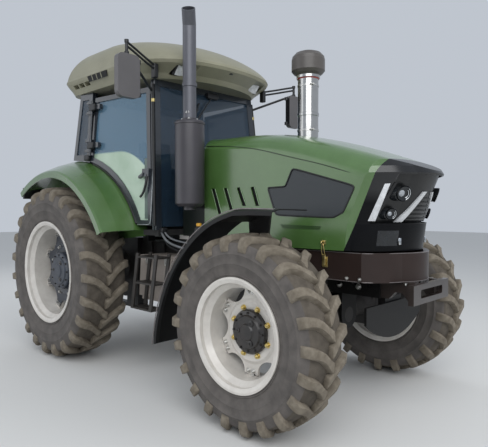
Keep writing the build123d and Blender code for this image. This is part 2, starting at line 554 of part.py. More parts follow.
def rear_side():
    """Door pillar, rear pillar and the rails above and below the quarter window."""
    def s_rear(z):
        return x_to_s(rear_x(z))
    top = ROOF_BOTTOM + 10
    low = [(x_to_s(x), AXLE_R_Z + sqrt((SHOULDER + 8) ** 2 - x * x))
           for x in (rear_x(REAR_SILL), (DOOR_HINGE_X - 25) / 2, DOOR_HINGE_X - 40)]
    (z0, z1), edge = QUARTER_Z, 45
    hole = [(B_S1, z0), (B_S1, z1), (s_rear(z1) - edge, z1), (s_rear(z0) - edge, z0)]
    frame = panel([(B_S0, top), (s_rear(top), top), *low], -45, 10) - panel(hole, -60, 20)
    frame = level(frame, REAR_SILL - 90)
    pane = panel([(B_S1 + FIT, z0 + FIT), (B_S1 + FIT, z1 - FIT), (s_rear(z1) - edge - FIT, z1 - FIT),
                  (s_rear(z0) - edge - FIT, z0 + FIT)], -GLASS / 2, GLASS / 2)
    lugs = []
    for z in DOOR_HINGES:
        for zz in (z + 36, z - 66):
            eye = at(HINGE_S, zz, HINGE_OFFSET)
            lugs.append(rod(eye, eye + Side.up * 30, 16))
            for s0, d0 in ((HINGE_S, DOOR_THICK / 2 + 4), (B_S0 + 6, 5)):
                lugs.append(panel([(s0, zz + 2), (s0, zz + 28), (HINGE_S + 78, zz + 28), (HINGE_S + 78, zz + 2)],
                                  d0, HINGE_OFFSET + 8))
    return fuse(frame, *lugs), pane


REAR_SIDE, QUARTER_PANE = rear_side()
node("cab_rear_frame", fuse(*both(REAR_SIDE), cross_panel(HEADER_Z - 20, ROOF_BOTTOM - FIT, rear_x, 30, -4, -44)))
REAR_WINDOW = cross_panel(REAR_SILL + FIT, HEADER_Z - 20 - FIT, rear_x, 52, -18, -24)
node("cab_windows", WINDSCREEN, REAR_WINDOW, *both(QUARTER_PANE))
DOOR, PANE = door()
pair("door", DOOR)
pair("door_glass", PANE)

# floor tub: flat floor, riser in front of the axle and rear deck, between the fender walls
DECK = FLOOR_TOP + 200
tub = prism("Y", FIT - FENDER_IN, FENDER_IN - FIT,
            [(CAB_FRONT_X, FLOOR_BOTTOM), (CAB_FRONT_X, FLOOR_TOP), (330, FLOOR_TOP), (250, DECK), (30, DECK),
             (0, REAR_SILL), (-40, REAR_SILL), (-60, DECK - 60), (220, DECK - 60), (300, FLOOR_BOTTOM)])
wing = prism("Z", FLOOR_BOTTOM, FLOOR_TOP, [(CAB_FRONT_X, 0), (CAB_FRONT_X, CAB_FRONT_HALF - 10),
                                            (1080, CAB_FRONT_HALF), (1080, 0)])
node("cab_floor", fuse(tub, *both(wing)))

# cowl between cab and hood, with the ears and pins that the hood tilts on
COWL_EDGE, EAR_Y, EAR_R = COWL_TOP - 136, (100, 140), 22.0
cowl = [box(CAB_FRONT_X + FIT, COWL_FRONT_X, -COWL_HALF, COWL_HALF, FLOOR_TOP - 60, COWL_EDGE),
        prism("X", CAB_FRONT_X + FIT, COWL_FRONT_X,
              [(-COWL_HALF, COWL_EDGE), (-COWL_HALF, COWL_EDGE + 60), ((-375, COWL_TOP - 22), (-300, COWL_TOP)),
               (300, COWL_TOP), ((375, COWL_TOP - 22), (COWL_HALF, COWL_EDGE + 60)), (COWL_HALF, COWL_EDGE)]),
        box(COWL_FRONT_X - 20, ENGINE_X0 - FIT, -180, 180, FLOOR_BOTTOM, FLOOR_BOTTOM + 100)]
for s in (1, -1):
    y0, y1 = sorted((s * (EAR_Y[0] + FIT), s * (EAR_Y[1] - FIT)))
    cowl.append(box(COWL_FRONT_X - 20, HOOD_HINGE_X, y0, y1, COWL_TOP - 76, HOOD_HINGE_Z))
    cowl.append(rod((HOOD_HINGE_X, y0, HOOD_HINGE_Z), (HOOD_HINGE_X, y1, HOOD_HINGE_Z), EAR_R - 6))
    cowl.append(rod((HOOD_HINGE_X, s * 110, HOOD_HINGE_Z), (HOOD_HINGE_X, s * 176, HOOD_HINGE_Z), 8))
node("cowl", fuse(*cowl))


def roof():
    """Moulded cap: rounded plan, bowed front, crowned top, pockets for the front lights."""
    def plan(front, side, rear, rise):
        f, r, h, z = ROOF_FRONT_X - front, ROOF_REAR_X + rear, ROOF_HALF - side, ROOF_BOTTOM + rise
        left = [(r, h - 160, z), ((r + 48, h - 48, z), (r + 160, h, z)), (f - 560, h, z),
                ((f - 275, h - 105, z), (f - 90, h - 330, z))]
        right = [((f, 0, z), (f - 90, 330 - h, z)), ((f - 275, 105 - h, z), (f - 560, -h, z)), (r + 160, -h, z),
                 ((r + 48, 48 - h, z), (r, 160 - h, z))]
        return left + right
    visor = loft_through([plan(170, 70, 60, 0), plan(130, 50, 45, 40), plan(14, 10, 10, ROOF_RIM - 25),
                          plan(0, 0, 0, ROOF_RIM), plan(10, 8, 8, ROOF_RIM + 25)], ruled=True)
    crown = loft_through([plan(10, 8, 8, ROOF_RIM + 25), plan(110, 30, 40, ROOF_RIM + 115),
                          plan(270, 80, 120, ROOF_RIM + 210), plan(450, 160, 240, ROOF_RISE - 32),
                          plan(600, 300, 380, ROOF_RISE)])
    cap = fuse(visor, crown)
    z = ROOF_BOTTOM
    for s in (1, -1):
        y0, y1 = sorted((s * 370, s * 570))
        cap = cap - rounded(box(ROOF_FRONT_X - 340, ROOF_FRONT_X + 40, y0, y1, z + 26, z + 100), Axis.X, 20)
        y0, y1 = sorted((s * (ROOF_HALF - 90), s * (ROOF_HALF + 10)))
        for x in (40, 150, 260):                 # air slots of the cab fan
            cap = cap - box(x, x + 90, y0, y1, z + 52, z + 88)
    return cap


node("roof", roof())


def exhaust():
    """Muffler can on the side of the cowl, stack with a clamp, and a mouth turned outward."""
    x, y, z = COWL_FRONT_X + 30, -COWL_HALF - 205, 1510.0
    muffler = turned_z(x, y, [(0, z - 30), (52, z - 30), (52, z), (96, z), (125, z + 24), (125, z + 690), (130, z + 694),
                              (130, z + 708), (118, z + 722), (62, z + 734), (62, z + 748), (57, z + 750),
                              (57, z + 1010), (64, z + 1012), (64, z + 1040), (57, z + 1042), (57, z + 1550),
                              (0, z + 1550)])
    tip = rod((x, y, z + 1530), (x + 60, y - 60, z + 1640), 57)
    feed = rod((x - 55, y + 30, z + 30), (x - 55, -COWL_HALF - FIT, z + 30), 48)
    stay = box(x - 70, x - 30, y + 60, -COWL_HALF - FIT, z + 370, z + 420)
    bore = rod((x, y, z + 1551), (x + 62, y - 62, z + 1645), 50)
    return fuse(muffler, tip, feed, stay) - bore


MIRROR_X, MIRROR_Y, MIRROR_Z = 1400.0, 1080.0, ROOF_BOTTOM + 84


def mirror_side():
    """Tube arm from the front pillar and a rounded mirror housing hung on it."""
    s = front_s(MIRROR_Z - 190) - DOOR_FRONT_GAP + 4
    z = MIRROR_Z - 192
    foot = panel([(s, z - 30), (s, z + 30), (s + 44, z + 30), (s + 44, z - 30)], 10 + FIT, 24)
    start, top = at(s + 22, z, 23), (MIRROR_X, MIRROR_Y, MIRROR_Z)
    arm = fuse(foot, rod((start.X, start.Y, start.Z), top, 12), rod(top, (MIRROR_X, MIRROR_Y, MIRROR_Z - 352), 11))
    back = rounded(box(MIRROR_X - 15, MIRROR_X + 40, 975, 1185, MIRROR_Z - 362, MIRROR_Z - 12), Axis.X, 50)
    return fuse(arm, back)


node("exhaust", exhaust())
node("mirrors", *both(mirror_side()))

# ---------------------------------------------------------------- rear fenders
# angle about the axle, how far the outer edge stands clear of the tyre
FENDER_STATIONS = [(23, 231), (35, 200), (50, 173), (70, 155), (90, 145), (110, 151), (129, 181)]


def rear_fender():
    """Pressed guard, raised beside the cab and rolled down at its outer edge, with the inner wall."""
    sections = []
    for angle, rise in FENDER_STATIONS:
        outer, w = TYRE_R_RADIUS + rise, FENDER_WALL
        mid = (SHOULDER + outer) / 2 + 14
        rim = [(SHOULDER, FENDER_IN), (SHOULDER, 790), (mid, 945), (outer + 16, FENDER_OUT - 14),
               (outer, FENDER_OUT), (outer - 55, FENDER_OUT), (outer - 55, FENDER_OUT - w),
               (outer + 2, FENDER_OUT - 20), (mid - w, 940), (SHOULDER - w, 784), (SHOULDER - w, FENDER_IN)]
        sections.append([arc_point(0, AXLE_R_Z, angle, r, y) for r, y in rim])
    guard = loft_through(sections)
    a0, a1, reach = FENDER_STATIONS[0][0], FENDER_STATIONS[-1][0], SHOULDER * 0.999
    low = AXLE_R_Z + 385
    start, crown, end = [(reach * cos(radians(a)), AXLE_R_Z + reach * sin(radians(a)))
                         for a in (a0, (a0 + a1) / 2, a1)]
    wall = prism("Y", FENDER_IN, FENDER_IN + 12, [(start[0], low), start, (crown, end), (end[0], low + 260),
                                                  (-300, low - 80), (330, low - 80)])
    return fuse(guard, wall)


pair("rear_fender", rear_fender())


# ---------------------------------------------------------------- hood
# x, half width, side crease z, z at the shoulder, crown z
HOOD_STATIONS = [(HOOD_REAR_X, 452, 2010, 2105, 2130), (AXLE_F_X - 350, 446, 1950, 2080, 2106),
                 (AXLE_F_X + 200, 440, 1808, 1970, 1992), (AXLE_F_X + 500, 432, 1712, 1880, 1896),
                 (AXLE_F_X + 750, 424, 1640, 1795, 1800), (AXLE_F_X + 1050, 420, 1560, 1665, 1668)]
# z; x ahead of the front axle: middle line, at y 200, at y 340, at y 420
LIP_Z, CHIN_Z = 1730.0, 1385.0
NOSE_LEVELS = [(HOOD_BOTTOM - 20, 722, 672, 580, 440), (CHIN_Z, 748, 700, 604, 460),
               (LIP_Z, NOSE_REACH, 815, 715, 590), (LIP_Z + 45, 855, 785, 680, 550), (LIP_Z + 100, 790, 720, 610, 470),
               (LIP_Z + 470, 370, 330, 250, 130)]
# the lamp and grille panel lies behind the chin and rises to the lip
INSET_LEVELS = [(CHIN_Z - 40, 700, 634, 542, 440), (LIP_Z, 848, 782, 688, 600), (LIP_Z + 40, 865, 800, 705, 620)]


def hood_arch(wall):
    """Flat sides up to a crease, then a rounded shoulder and a low crown."""
    sections = []
    for x, w, crease, shoulder, crown in HOOD_STATIONS:
        w, c, s, k = w - wall, crease - wall * 0.6, shoulder - wall, crown - wall
        left = [(w, HOOD_BOTTOM - wall * 3), (w, c), ((0.90 * w, c + 0.66 * (s - c)), (0.64 * w, s))]
        right = [((0, k), (-0.64 * w, s)), ((-0.90 * w, c + 0.66 * (s - c)), (-w, c)), (-w, HOOD_BOTTOM - wall * 3)]
        sections.append([tuple((x, *q) for q in p) if isinstance(p[0], tuple) else (x, *p) for p in left + right])
    return loft_through(sections)


def bowed(levels, wall):
    """Body bounded in front by bowed plan outlines at the given heights."""
    rear, sections = HOOD_REAR_X - 140, []
    for z, mid, x2, x34, x42 in levels:
        m, a, b, c = [AXLE_F_X + v - wall for v in (mid, x2, x34, x42)]
        k = wall * 0.5
        sections.append([(rear, 470, z), (c - 120, 470, z), (c, 420 - k, z), ((b, 340 - k, z), (a, 200 - k, z)),
                         ((m, 0, z), (a, k - 200, z)), ((b, k - 340, z), (c, k - 420, z)), (c - 120, -470, z),
                         (rear, -470, z)])
    return loft_through(sections, ruled=True)


def hood_body(wall):
    return hood_arch(wall) & bowed(NOSE_LEVELS, wall)


SHELL = hood_body(0) - hood_body(HOOD_WALL) - box(HOOD_REAR_X - 1, HOOD_REAR_X + 0.5, -500, 500, 1100, 2300)


def border_x(z):
    """Slanted line between the painted hood and its black front."""
    return AXLE_F_X + 400 + 0.419 * (z - 1200)


front_side = prism("Y", -600, 600, [(border_x(1100), 1100), (border_x(2300), 2300), (AXLE_F_X + 1250, 2300),
                                    (AXLE_F_X + 1250, 1100)])
rear_side_block = prism("Y", -600, 600, [(HOOD_REAR_X - 140, 1100), (border_x(1100) - FIT, 1100),
                                         (border_x(2300) - FIT, 2300), (HOOD_REAR_X - 140, 2300)])
# x from the front axle and height of the side panel's corners
MESH_SIDE = [(-281, 1652), (-107, 1657), (-39, 1790), (487, 1644), (396, 1467), (318, 1429), (-199, 1442)]
MESH_EDGE = 14.0


# top x, top z, bottom x, bottom z of each louvre slot, x from the hood's rear edge
LOUVRES = [(111, 1665, 198, 1437), (260, 1665, 331, 1480), (412, 1665, 480, 1512), (569, 1665, 623, 1512)]
SLOT = 48.0
CLEANER_X, CLEANER_TUBE = AXLE_F_X - 230, 85.0
mesh_cut = rounded(prism("Y", -600, 600, [(AXLE_F_X + x, z) for x, z in MESH_SIDE]), Axis.Y, MESH_EDGE)
cx, cz = sum(p[0] for p in MESH_SIDE) / 7 + AXLE_F_X, sum(p[1] for p in MESH_SIDE) / 7
mesh_fill = rounded(prism("Y", -600, 600, [(AXLE_F_X + x + (FIT if AXLE_F_X + x < cx else -FIT) * 1.4,
                                            z + (FIT if z < cz else -FIT) * 1.4) for x, z in MESH_SIDE]),
                    Axis.Y, MESH_EDGE)
hood_shell = (SHELL & rear_side_block) - mesh_cut - Pos(CLEANER_X, 0, 2100) * Cylinder(CLEANER_TUBE + FIT, 200)
for x0, z0, x1, z1 in LOUVRES:
    slot = prism("Y", -600, 600, [(HOOD_REAR_X + x0 - SLOT / 2, z0), (HOOD_REAR_X + x0 + SLOT / 2, z0),
                                  (HOOD_REAR_X + x1 + SLOT / 2, z1), (HOOD_REAR_X + x1 - SLOT / 2, z1)])
    hood_shell = hood_shell - rounded(slot, Axis.Y, 12)
for s in (1, -1):                                # hinge arms under the rear of the hood
    y0, y1 = sorted((s * EAR_Y[1], s * (EAR_Y[1] + 40)))
    arm = box(HOOD_HINGE_X, 1760, y0, y1, HOOD_HINGE_Z - 8, HOOD_HINGE_Z + 100) & hood_body(HOOD_WALL / 2)
    arm = fuse(arm, box(HOOD_HINGE_X, HOOD_HINGE_X + 60, y0, y1, HOOD_HINGE_Z - EAR_R + 6, HOOD_HINGE_Z + 12),
               rod((HOOD_HINGE_X, y0, HOOD_HINGE_Z), (HOOD_HINGE_X, y1, HOOD_HINGE_Z), EAR_R - 6))
    hood_shell = hood_shell + arm - rod((HOOD_HINGE_X, y0 - 5, HOOD_HINGE_Z), (HOOD_HINGE_X, y1 + 5, HOOD_HINGE_Z),
                                        8 + FIT)
node("hood_shell", hood_shell)
node("hood_mesh_panels", (SHELL & rear_side_block) & mesh_fill)

# opening under the lip, the panel behind it, four lamps and the slanting strips between them
OPEN_LOW = CHIN_Z + 5
OPENING = prism("Y", -600, 600, [(AXLE_F_X + 565, OPEN_LOW), (AXLE_F_X + 710, 1660), (AXLE_F_X + 738, LIP_Z - 12),
                                 (AXLE_F_X + 1100, LIP_Z - 12), (AXLE_F_X + 1100, OPEN_LOW)])
LENS = [box(AXLE_F_X + 560, AXLE_F_X + 900, *sorted((s * 205, s * 335)), 1238, 1342) for s in (1, -1)]
node("hood_nose", (SHELL & front_side) - OPENING - LENS[0] - LENS[1])
behind = hood_body(HOOD_WALL + FIT)
inset_face = bowed(INSET_LEVELS, 0)
slab = prism("Y", -600, 600, [(AXLE_F_X + 520, CHIN_Z - 25), (AXLE_F_X + 690, 1700), (AXLE_F_X + 705, LIP_Z + 6),
                              (AXLE_F_X + 1100, LIP_Z + 6), (AXLE_F_X + 1100, CHIN_Z - 25)])
panel_skin = (behind & slab & inset_face) - bowed(INSET_LEVELS, 8)
shelf = (behind & box(AXLE_F_X + 540, AXLE_F_X + 1000, -410, 410, CHIN_Z - 8, CHIN_Z - 2)) - bowed(INSET_LEVELS, 4)
bars = [(prism("X", AXLE_F_X + 500, AXLE_F_X + 1000, [(-w, z), (w, z), (w - 6, z + 10), (6 - w, z + 10)])
         & bowed(INSET_LEVELS, -10)) - bowed(INSET_LEVELS, 4)
        for w, z in ((150, 1412), (134, 1440), (118, 1468), (101, 1496), (84, 1524), (67, 1552))]
node("grille", fuse(panel_skin, shelf, *bars))


def lamp(y, z, radius, proud):
    tube = rod((AXLE_F_X + 400, y, z), (AXLE_F_X + 1000, y, z), radius)
    return (tube & bowed(INSET_LEVELS, -proud)) - bowed(INSET_LEVELS, -FIT)


lamps = [lamp(-252, 1592, 50, 34), lamp(-282, 1456, 38, 30)]
lens = (hood_body(0) - hood_body(HOOD_WALL * 2)) & box(AXLE_F_X + 560, AXLE_F_X + 900, -335 + FIT, -205 - FIT,
                                                       1238 + FIT, 1342 - FIT)
node("headlamps", *[q for p in (*lamps, lens) for q in both(p)])
STRIPS = [[(-378, OPEN_LOW + 8), (-340, OPEN_LOW + 8), (-292, 1662), (-326, 1662)],
          [(-212, OPEN_LOW + 8), (-168, OPEN_LOW + 8), (-40, 1606), (-72, 1606)]]
strips = [(prism("X", AXLE_F_X + 400, AXLE_F_X + 1000, s) & bowed(INSET_LEVELS, -14)) - bowed(INSET_LEVELS, -FIT)
          for s in STRIPS]
node("hood_trim", *[q for p in strips for q in both(p)])
node("pre_cleaner", turned_z(CLEANER_X, 0, [
    (0, 2060), (CLEANER_TUBE, 2060), (CLEANER_TUBE, 2250), (CLEANER_TUBE + 5, 2253), (CLEANER_TUBE + 5, 2275),
    (CLEANER_TUBE, 2278), (CLEANER_TUBE, 2560), (CLEANER_TUBE + 12, 2562), (CLEANER_TUBE + 12, 2586), (118, 2600),
    (137, 2622), (137, 2712), (131, 2738), (104, 2768), (60, 2784), (0, 2790)]))


# ---------------------------------------------------------------- driver's place
SEAT_Z, SEAT_X = FLOOR_TOP + 290, 370.0
node("seat_base", fuse(box(420, 720, -160, 160, FLOOR_TOP + FIT, SEAT_Z - 30),
                       rounded(box(SEAT_X + 10, 800, -210, 210, SEAT_Z - 30, SEAT_Z), Axis.Z, 40)))
seat_pad = rounded(box(SEAT_X, 830, -250, 250, SEAT_Z + FIT, SEAT_Z + 120), Axis.Z, 60)
seat_rest = prism("Y", -235, 235, [(SEAT_X - 120, SEAT_Z + 40), (SEAT_X - FIT, SEAT_Z + 40), (SEAT_X - 70, SEAT_Z + 690),
                                   (SEAT_X - 160, SEAT_Z + 690)])
node("seat_cushions", seat_pad, seat_rest)
CONSOLE = prism("Y", -560, -330, [(380, FLOOR_TOP + FIT), (900, FLOOR_TOP + FIT), (900, FLOOR_TOP + 400),
                                  (820, FLOOR_TOP + 460), (380, FLOOR_TOP + 430)])
node("side_console", rounded(CONSOLE, Axis.Y, 12))
COLUMN_LEAN, COLUMN_TOP = radians(35), (975, FLOOR_TOP + 550)     # column leans toward the seat
COLUMN = Plane(origin=(COLUMN_TOP[0], 0, COLUMN_TOP[1]), x_dir=(0, 1, 0),
               z_dir=(-sin(COLUMN_LEAN), 0, cos(COLUMN_LEAN)))
SCREEN_BACK = CAB_FRONT_X - 92 - FIT
node("dashboard", fuse(rounded(prism("Y", -190, 190, [
    (1000, FLOOR_TOP + FIT), (SCREEN_BACK, FLOOR_TOP + FIT), (SCREEN_BACK, FLOOR_TOP + 480), (1130, FLOOR_TOP + 550),
    (1040, FLOOR_TOP + 480), (1080, FLOOR_TOP + 200)]), Axis.Y, 14),
    COLUMN * (Pos(0, 0, -26 - FIT - 90) * Cylinder(45, 180))))


def steering_wheel():
    spokes = [box(0, 188, -14, 14, -8, 4).rotate(Axis.Z, a) for a in (90, 210, 330)]
    return fuse(Solid.make_torus(190, 15), Pos(0, 0, -6) * Cylinder(38, 40), *spokes)


node("steering_wheel", COLUMN * steering_wheel())

# ---------------------------------------------------------------- rear linkage
LINK_EYE = (50 - REAR_REACH, LINK_PIVOT[1] - 60)
ROD_SHARE, LINK_BALL, TOP_BALL = 0.46, 18.4, 12.7
ARM_PIVOT = (-165.0, AXLE_R_Z + 260)
LINK_AT = tuple(LINK_PIVOT[i] + ROD_SHARE * (LINK_EYE[i] - LINK_PIVOT[i]) for i in (0, 1))
ARM_END = tuple(ARM_PIVOT[i] + LINK_AT[i] - LINK_PIVOT[i] for i in (0, 1))
LINK_Y = LINK_IN + ROD_SHARE * (LINK_OUT - LINK_IN)
ROD_Y = LINK_Y + 47


def lower_link():
    """Tapering bar from the housing lug to the ball at its end, with a boss for the lift rod."""
    (x0, z0), (x1, z1) = LINK_PIVOT, LINK_EYE
    bar = loft_through([[(x, y - 15, z - h), (x, y + 15, z - h), (x, y + 15, z + h), (x, y - 15, z + h)]
                        for x, y, z, h in ((x0, LINK_IN, z0, 38), (LINK_AT[0], LINK_Y, LINK_AT[1], 52),
                                           (x1, LINK_OUT, z1, 34))], ruled=True)
    front = rod((x0, LINK_IN - 25, z0), (x0, LINK_IN + 25, z0), 45)
    eye = rod((x1, LINK_OUT - 26, z1), (x1, LINK_OUT + 26, z1), 48)
    boss = rod((LINK_AT[0], LINK_Y - 20, LINK_AT[1]), (LINK_AT[0], ROD_Y - 20 - FIT, LINK_AT[1]), 40)
    return fuse(bar, front, eye, boss) - rod((x1, LINK_OUT - 30, z1), (x1, LINK_OUT + 30, z1), LINK_BALL)


def lift_arm():
    (x0, z0), (x1, z1) = ARM_PIVOT, ARM_END
    bar = prism("Y", ROD_Y - 60, ROD_Y - 20 - FIT, [(x0, z0 - 50), (x0, z0 + 50), (x1, z1 + 32), (x1, z1 - 32)])
    ends = [rod((x0, CASE_HALF + FIT, z0), (x0, ROD_Y - 20 - FIT, z0), 55),
            rod((x1, ROD_Y - 60, z1), (x1, ROD_Y - 20 - FIT, z1), 34)]
    return fuse(bar, *ends)


def lift_rod():
    """Rod between arm and link, thicker where its length is set."""
    (x0, z0), (x1, z1) = ARM_END, LINK_AT
    low, high = [(x0 + (x1 - x0) * t, ROD_Y, z0 + (z1 - z0) * t) for t in (0.78, 0.42)]
    return fuse(rod((x0, ROD_Y, z0), (x1, ROD_Y, z1), 17), rod(high, low, 25),
                rod((x0, ROD_Y - 20, z0), (x0, ROD_Y + 20, z0), 34),
                rod((x1, ROD_Y - 20, z1), (x1, ROD_Y + 20, z1), 34))


def top_link():
    """Screw link: two threaded ends in a turnbuckle tube."""
    (x0, z0), x1, z1 = TOP_PIVOT, TOP_PIVOT[0] - TOP_LENGTH, TOP_PIVOT[1] + 90
    a, b = [(x0 + (x1 - x0) * t, 0, z0 + (z1 - z0) * t) for t in (0.22, 0.78)]
    link = fuse(rod((x0, 0, z0), (x1, 0, z1), 16), rod(a, b, 26),
                rod((x0, FIT - 28, z0), (x0, 28 - FIT, z0), 34), rod((x1, -22, z1), (x1, 22, z1), 38))
    return link - rod((x1, -30, z1), (x1, 30, z1), TOP_BALL)


node("lower_links", *both(lower_link()))
node("lift_arms", *both(lift_arm()))
node("lift_rods", *both(lift_rod()))
DRAW_Z = AXLE_R_Z - 515
node("drawbar", fuse(box(-870, 100, -45, 45, DRAW_Z, DRAW_Z + 44), rod((-870, 0, DRAW_Z), (-870, 0, DRAW_Z + 44), 45))
     - rod((-850, 0, DRAW_Z - 10), (-850, 0, DRAW_Z + 50), 16.5)
     + box(-160, 60, -70, 70, DRAW_Z + 40, AXLE_R_Z - 335 - FIT))
node("top_link", top_link())

# ---------------------------------------------------------------- write the sub-parts
os.makedirs("parts", exist_ok=True)
for name, body in NODES.items():
    export_step(Pos(-MIDDLE, 0, 0) * body, f"parts/{name}.step")
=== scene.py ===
"""Farm tractor with an enclosed cab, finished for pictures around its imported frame.

Metres. +X is the travel direction, +Y the tractor's left, +Z up, wheels on Z = 0.
"""
import math

import bpy
from mathutils import Matrix, Vector


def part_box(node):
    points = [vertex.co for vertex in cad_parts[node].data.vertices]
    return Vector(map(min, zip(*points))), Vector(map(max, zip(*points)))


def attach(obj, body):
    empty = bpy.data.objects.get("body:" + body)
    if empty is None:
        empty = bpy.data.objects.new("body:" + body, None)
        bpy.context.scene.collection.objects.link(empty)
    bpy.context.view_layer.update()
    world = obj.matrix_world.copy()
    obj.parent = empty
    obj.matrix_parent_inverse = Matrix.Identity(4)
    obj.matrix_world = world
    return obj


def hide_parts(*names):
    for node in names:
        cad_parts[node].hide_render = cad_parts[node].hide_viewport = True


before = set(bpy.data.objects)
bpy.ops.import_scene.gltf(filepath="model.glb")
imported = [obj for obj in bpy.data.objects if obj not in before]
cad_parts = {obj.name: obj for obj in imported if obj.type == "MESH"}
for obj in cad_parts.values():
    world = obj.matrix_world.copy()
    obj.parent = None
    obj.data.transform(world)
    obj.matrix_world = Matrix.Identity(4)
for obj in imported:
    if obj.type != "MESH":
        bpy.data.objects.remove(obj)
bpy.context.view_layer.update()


# ------------------------------------------------------------ tyres
# Farm tyres with bar tread: black rubber cured in a hot mould, dusty grey from standing outdoors.
# The casing is turned from its section. Each bar is bent over the crown and down the shoulder,
# and points the way the wheel rolls at the top.
def tone(code):
    """Linear colour of an sRGB hex value."""
    parts = [int(code[i:i + 2], 16) / 255 for i in (0, 2, 4)]
    return [c / 12.92 if c <= 0.04045 else ((c + 0.055) / 1.055) ** 2.4 for c in parts] + [1.0]


def add(tree, kind, links=(), **settings):
    """One shader node. Settings go to its sockets or properties by name; links bring other nodes'
    sockets, or plain values, to its own sockets by name or number."""
    made = tree.nodes.new("ShaderNode" + kind)
    for key, value in settings.items():
        name = key.replace("_", " ")
        socket = next((s for s in made.inputs if s.name.lower() == name.lower() and s.enabled), None)
        if socket is not None:
            socket.default_value = value
        else:
            setattr(made, key, value)
    for place, source in dict(links).items():
        if isinstance(source, bpy.types.NodeSocket):
            tree.links.new(source, made.inputs[place])
        else:
            made.inputs[place].default_value = source
    return made


def surface(name):
    """New material, with its node tree, its Principled shader and its Object coordinates."""
    made = bpy.data.materials.new(name)
    made.use_nodes = True
    tree = made.node_tree
    return made, tree, tree.nodes["Principled BSDF"], add(tree, "TexCoord").outputs["Object"]


def finish(name, colour, other, scale=6.0, rough=0.5, swing=0.12, grain=0.0, grain_scale=400.0, **shader):
    """Surface whose colour drifts between two tones and whose gloss and fine relief vary a little.

    scale and grain_scale are cells per metre; grain is the height of the relief in metres.
    """
    made, tree, face, place = surface(name)
    for key, value in shader.items():
        face.inputs[key.replace("_", " ")].default_value = value
    drift = add(tree, "TexNoise", {"Vector": place}, scale=scale, detail=5.0, roughness=0.6).outputs["Fac"]
    mix = add(tree, "ValToRGB", {"Fac": drift})
    ramp = mix.color_ramp.elements
    ramp[0].position, ramp[0].color = 0.35, tone(colour)
    ramp[1].position, ramp[1].color = 0.68, tone(other)
    tree.links.new(mix.outputs["Color"], face.inputs["Base Color"])
    gloss = add(tree, "MapRange", {"Value": drift}, to_min=rough - swing / 2, to_max=rough + swing / 2)
    tree.links.new(gloss.outputs["Result"], face.inputs["Roughness"])
    if grain:
        fine = add(tree, "TexNoise", {"Vector": place}, scale=grain_scale, detail=2.0)
        relief = add(tree, "Bump", {"Height": fine.outputs["Fac"]}, distance=grain, strength=1.0)
        tree.links.new(relief.outputs["Normal"], face.inputs["Normal"])
    return made


def paint(made, *names):
    """Give CAD nodes this material on every slot."""
    for name in names:
        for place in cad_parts[name].material_slots:
            place.material = made


def keep(name, made, body=None, smooth=35):
    """Close the edit, put the place into the mesh, and give the piece its finish and its body."""
    if bpy.context.mode != "OBJECT":
        bpy.ops.object.mode_set(mode="OBJECT")
    piece = bpy.context.object
    piece.name = name
    bpy.ops.object.transform_apply(location=True, rotation=True, scale=True)
    bpy.ops.object.shade_smooth_by_angle(angle=math.radians(smooth))
    piece.data.materials.clear()
    piece.data.materials.append(made)
    if body:
        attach(piece, body)
    return piece


def turned(name, line, centre, axis, made, body=None, steps=64, smooth=35):
    """Piece spun about an axis from a line of (radius, place along the axis)."""
    along = Vector((axis == "X", axis == "Y", axis == "Z"))
    out = Vector((0, 0, 1)) if axis == "X" else Vector((1, 0, 0))
    spots = [Vector(centre) + out * r + along * a for r, a in line]
    bpy.ops.object.select_all(action="DESELECT")
    bpy.ops.mesh.primitive_plane_add(size=0.001, location=spots[0])
    bpy.ops.object.mode_set(mode="EDIT")
    bpy.ops.mesh.merge(type="CENTER")
    for here, there in zip(spots, spots[1:]):
        bpy.ops.mesh.extrude_region_move(TRANSFORM_OT_translate={"value": there - here})
    bpy.ops.mesh.select_all(action="SELECT")
    bpy.ops.mesh.spin(steps=steps, angle=math.tau, center=centre, axis=along)
    bpy.ops.mesh.select_all(action="SELECT")
    bpy.ops.mesh.remove_doubles(threshold=0.0001)
    bpy.ops.mesh.normals_make_consistent(inside=False)
    return keep(name, made, body, smooth)


def copy_of(piece, move):
    """Copy with its own mesh, moved by a matrix."""
    other = piece.copy()
    other.data = piece.data.copy()
    other.data.transform(move)
    if move.determinant() < 0:
        other.data.flip_normals()
    bpy.context.scene.collection.objects.link(other)
    return other


def joined(name, pieces, body=None):
    """Several meshes made one piece, which keeps the first one's finish."""
    bpy.ops.object.select_all(action="DESELECT")
    for piece in pieces:
        piece.select_set(True)
    bpy.context.view_layer.objects.active = pieces[0]
    if len(pieces) > 1:
        bpy.ops.object.join()
    pieces[0].name = name
    if body:
        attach(pieces[0], body)
    return pieces[0]


def about(centre, turn):
    """The same turn or scale, made about a point."""
    return Matrix.Translation(Vector(centre)) @ turn @ Matrix.Translation(-Vector(centre))


def around(piece, centre, axis, count, start=0.0):
    """Copies of the piece at equal steps about an axis through centre, in its place."""
    ring = [copy_of(piece, about(centre, Matrix.Rotation(start + math.tau * i / count, 4, axis)))
            for i in range(count)]
    bpy.data.objects.remove(piece)
    return ring


MIRROR = Matrix.Scale(-1, 4, (0, 1, 0))


def both_sides(piece, body="chassis", other_body=None):
    """The piece for the right side and its mirror image on the left."""
    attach(piece, body)
    twin = copy_of(piece, MIRROR)
    twin.name = piece.name.replace("right", "left")
    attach(twin, other_body or body)
    return twin


# sidewall rubber under pale dust, a little darker low in its relief
rubber = finish("tyre_sidewall_rubber", "4b4744", "615c58", scale=9.0, rough=0.82, swing=0.1, grain=0.0006,
                grain_scale=260.0)
# the crown between the bars: browner, rubbed by earth
tread_rubber = finish("tyre_tread_rubber", "48423a", "5c554c", scale=16.0, rough=0.88, swing=0.1,
                      grain=0.0012, grain_scale=150.0)
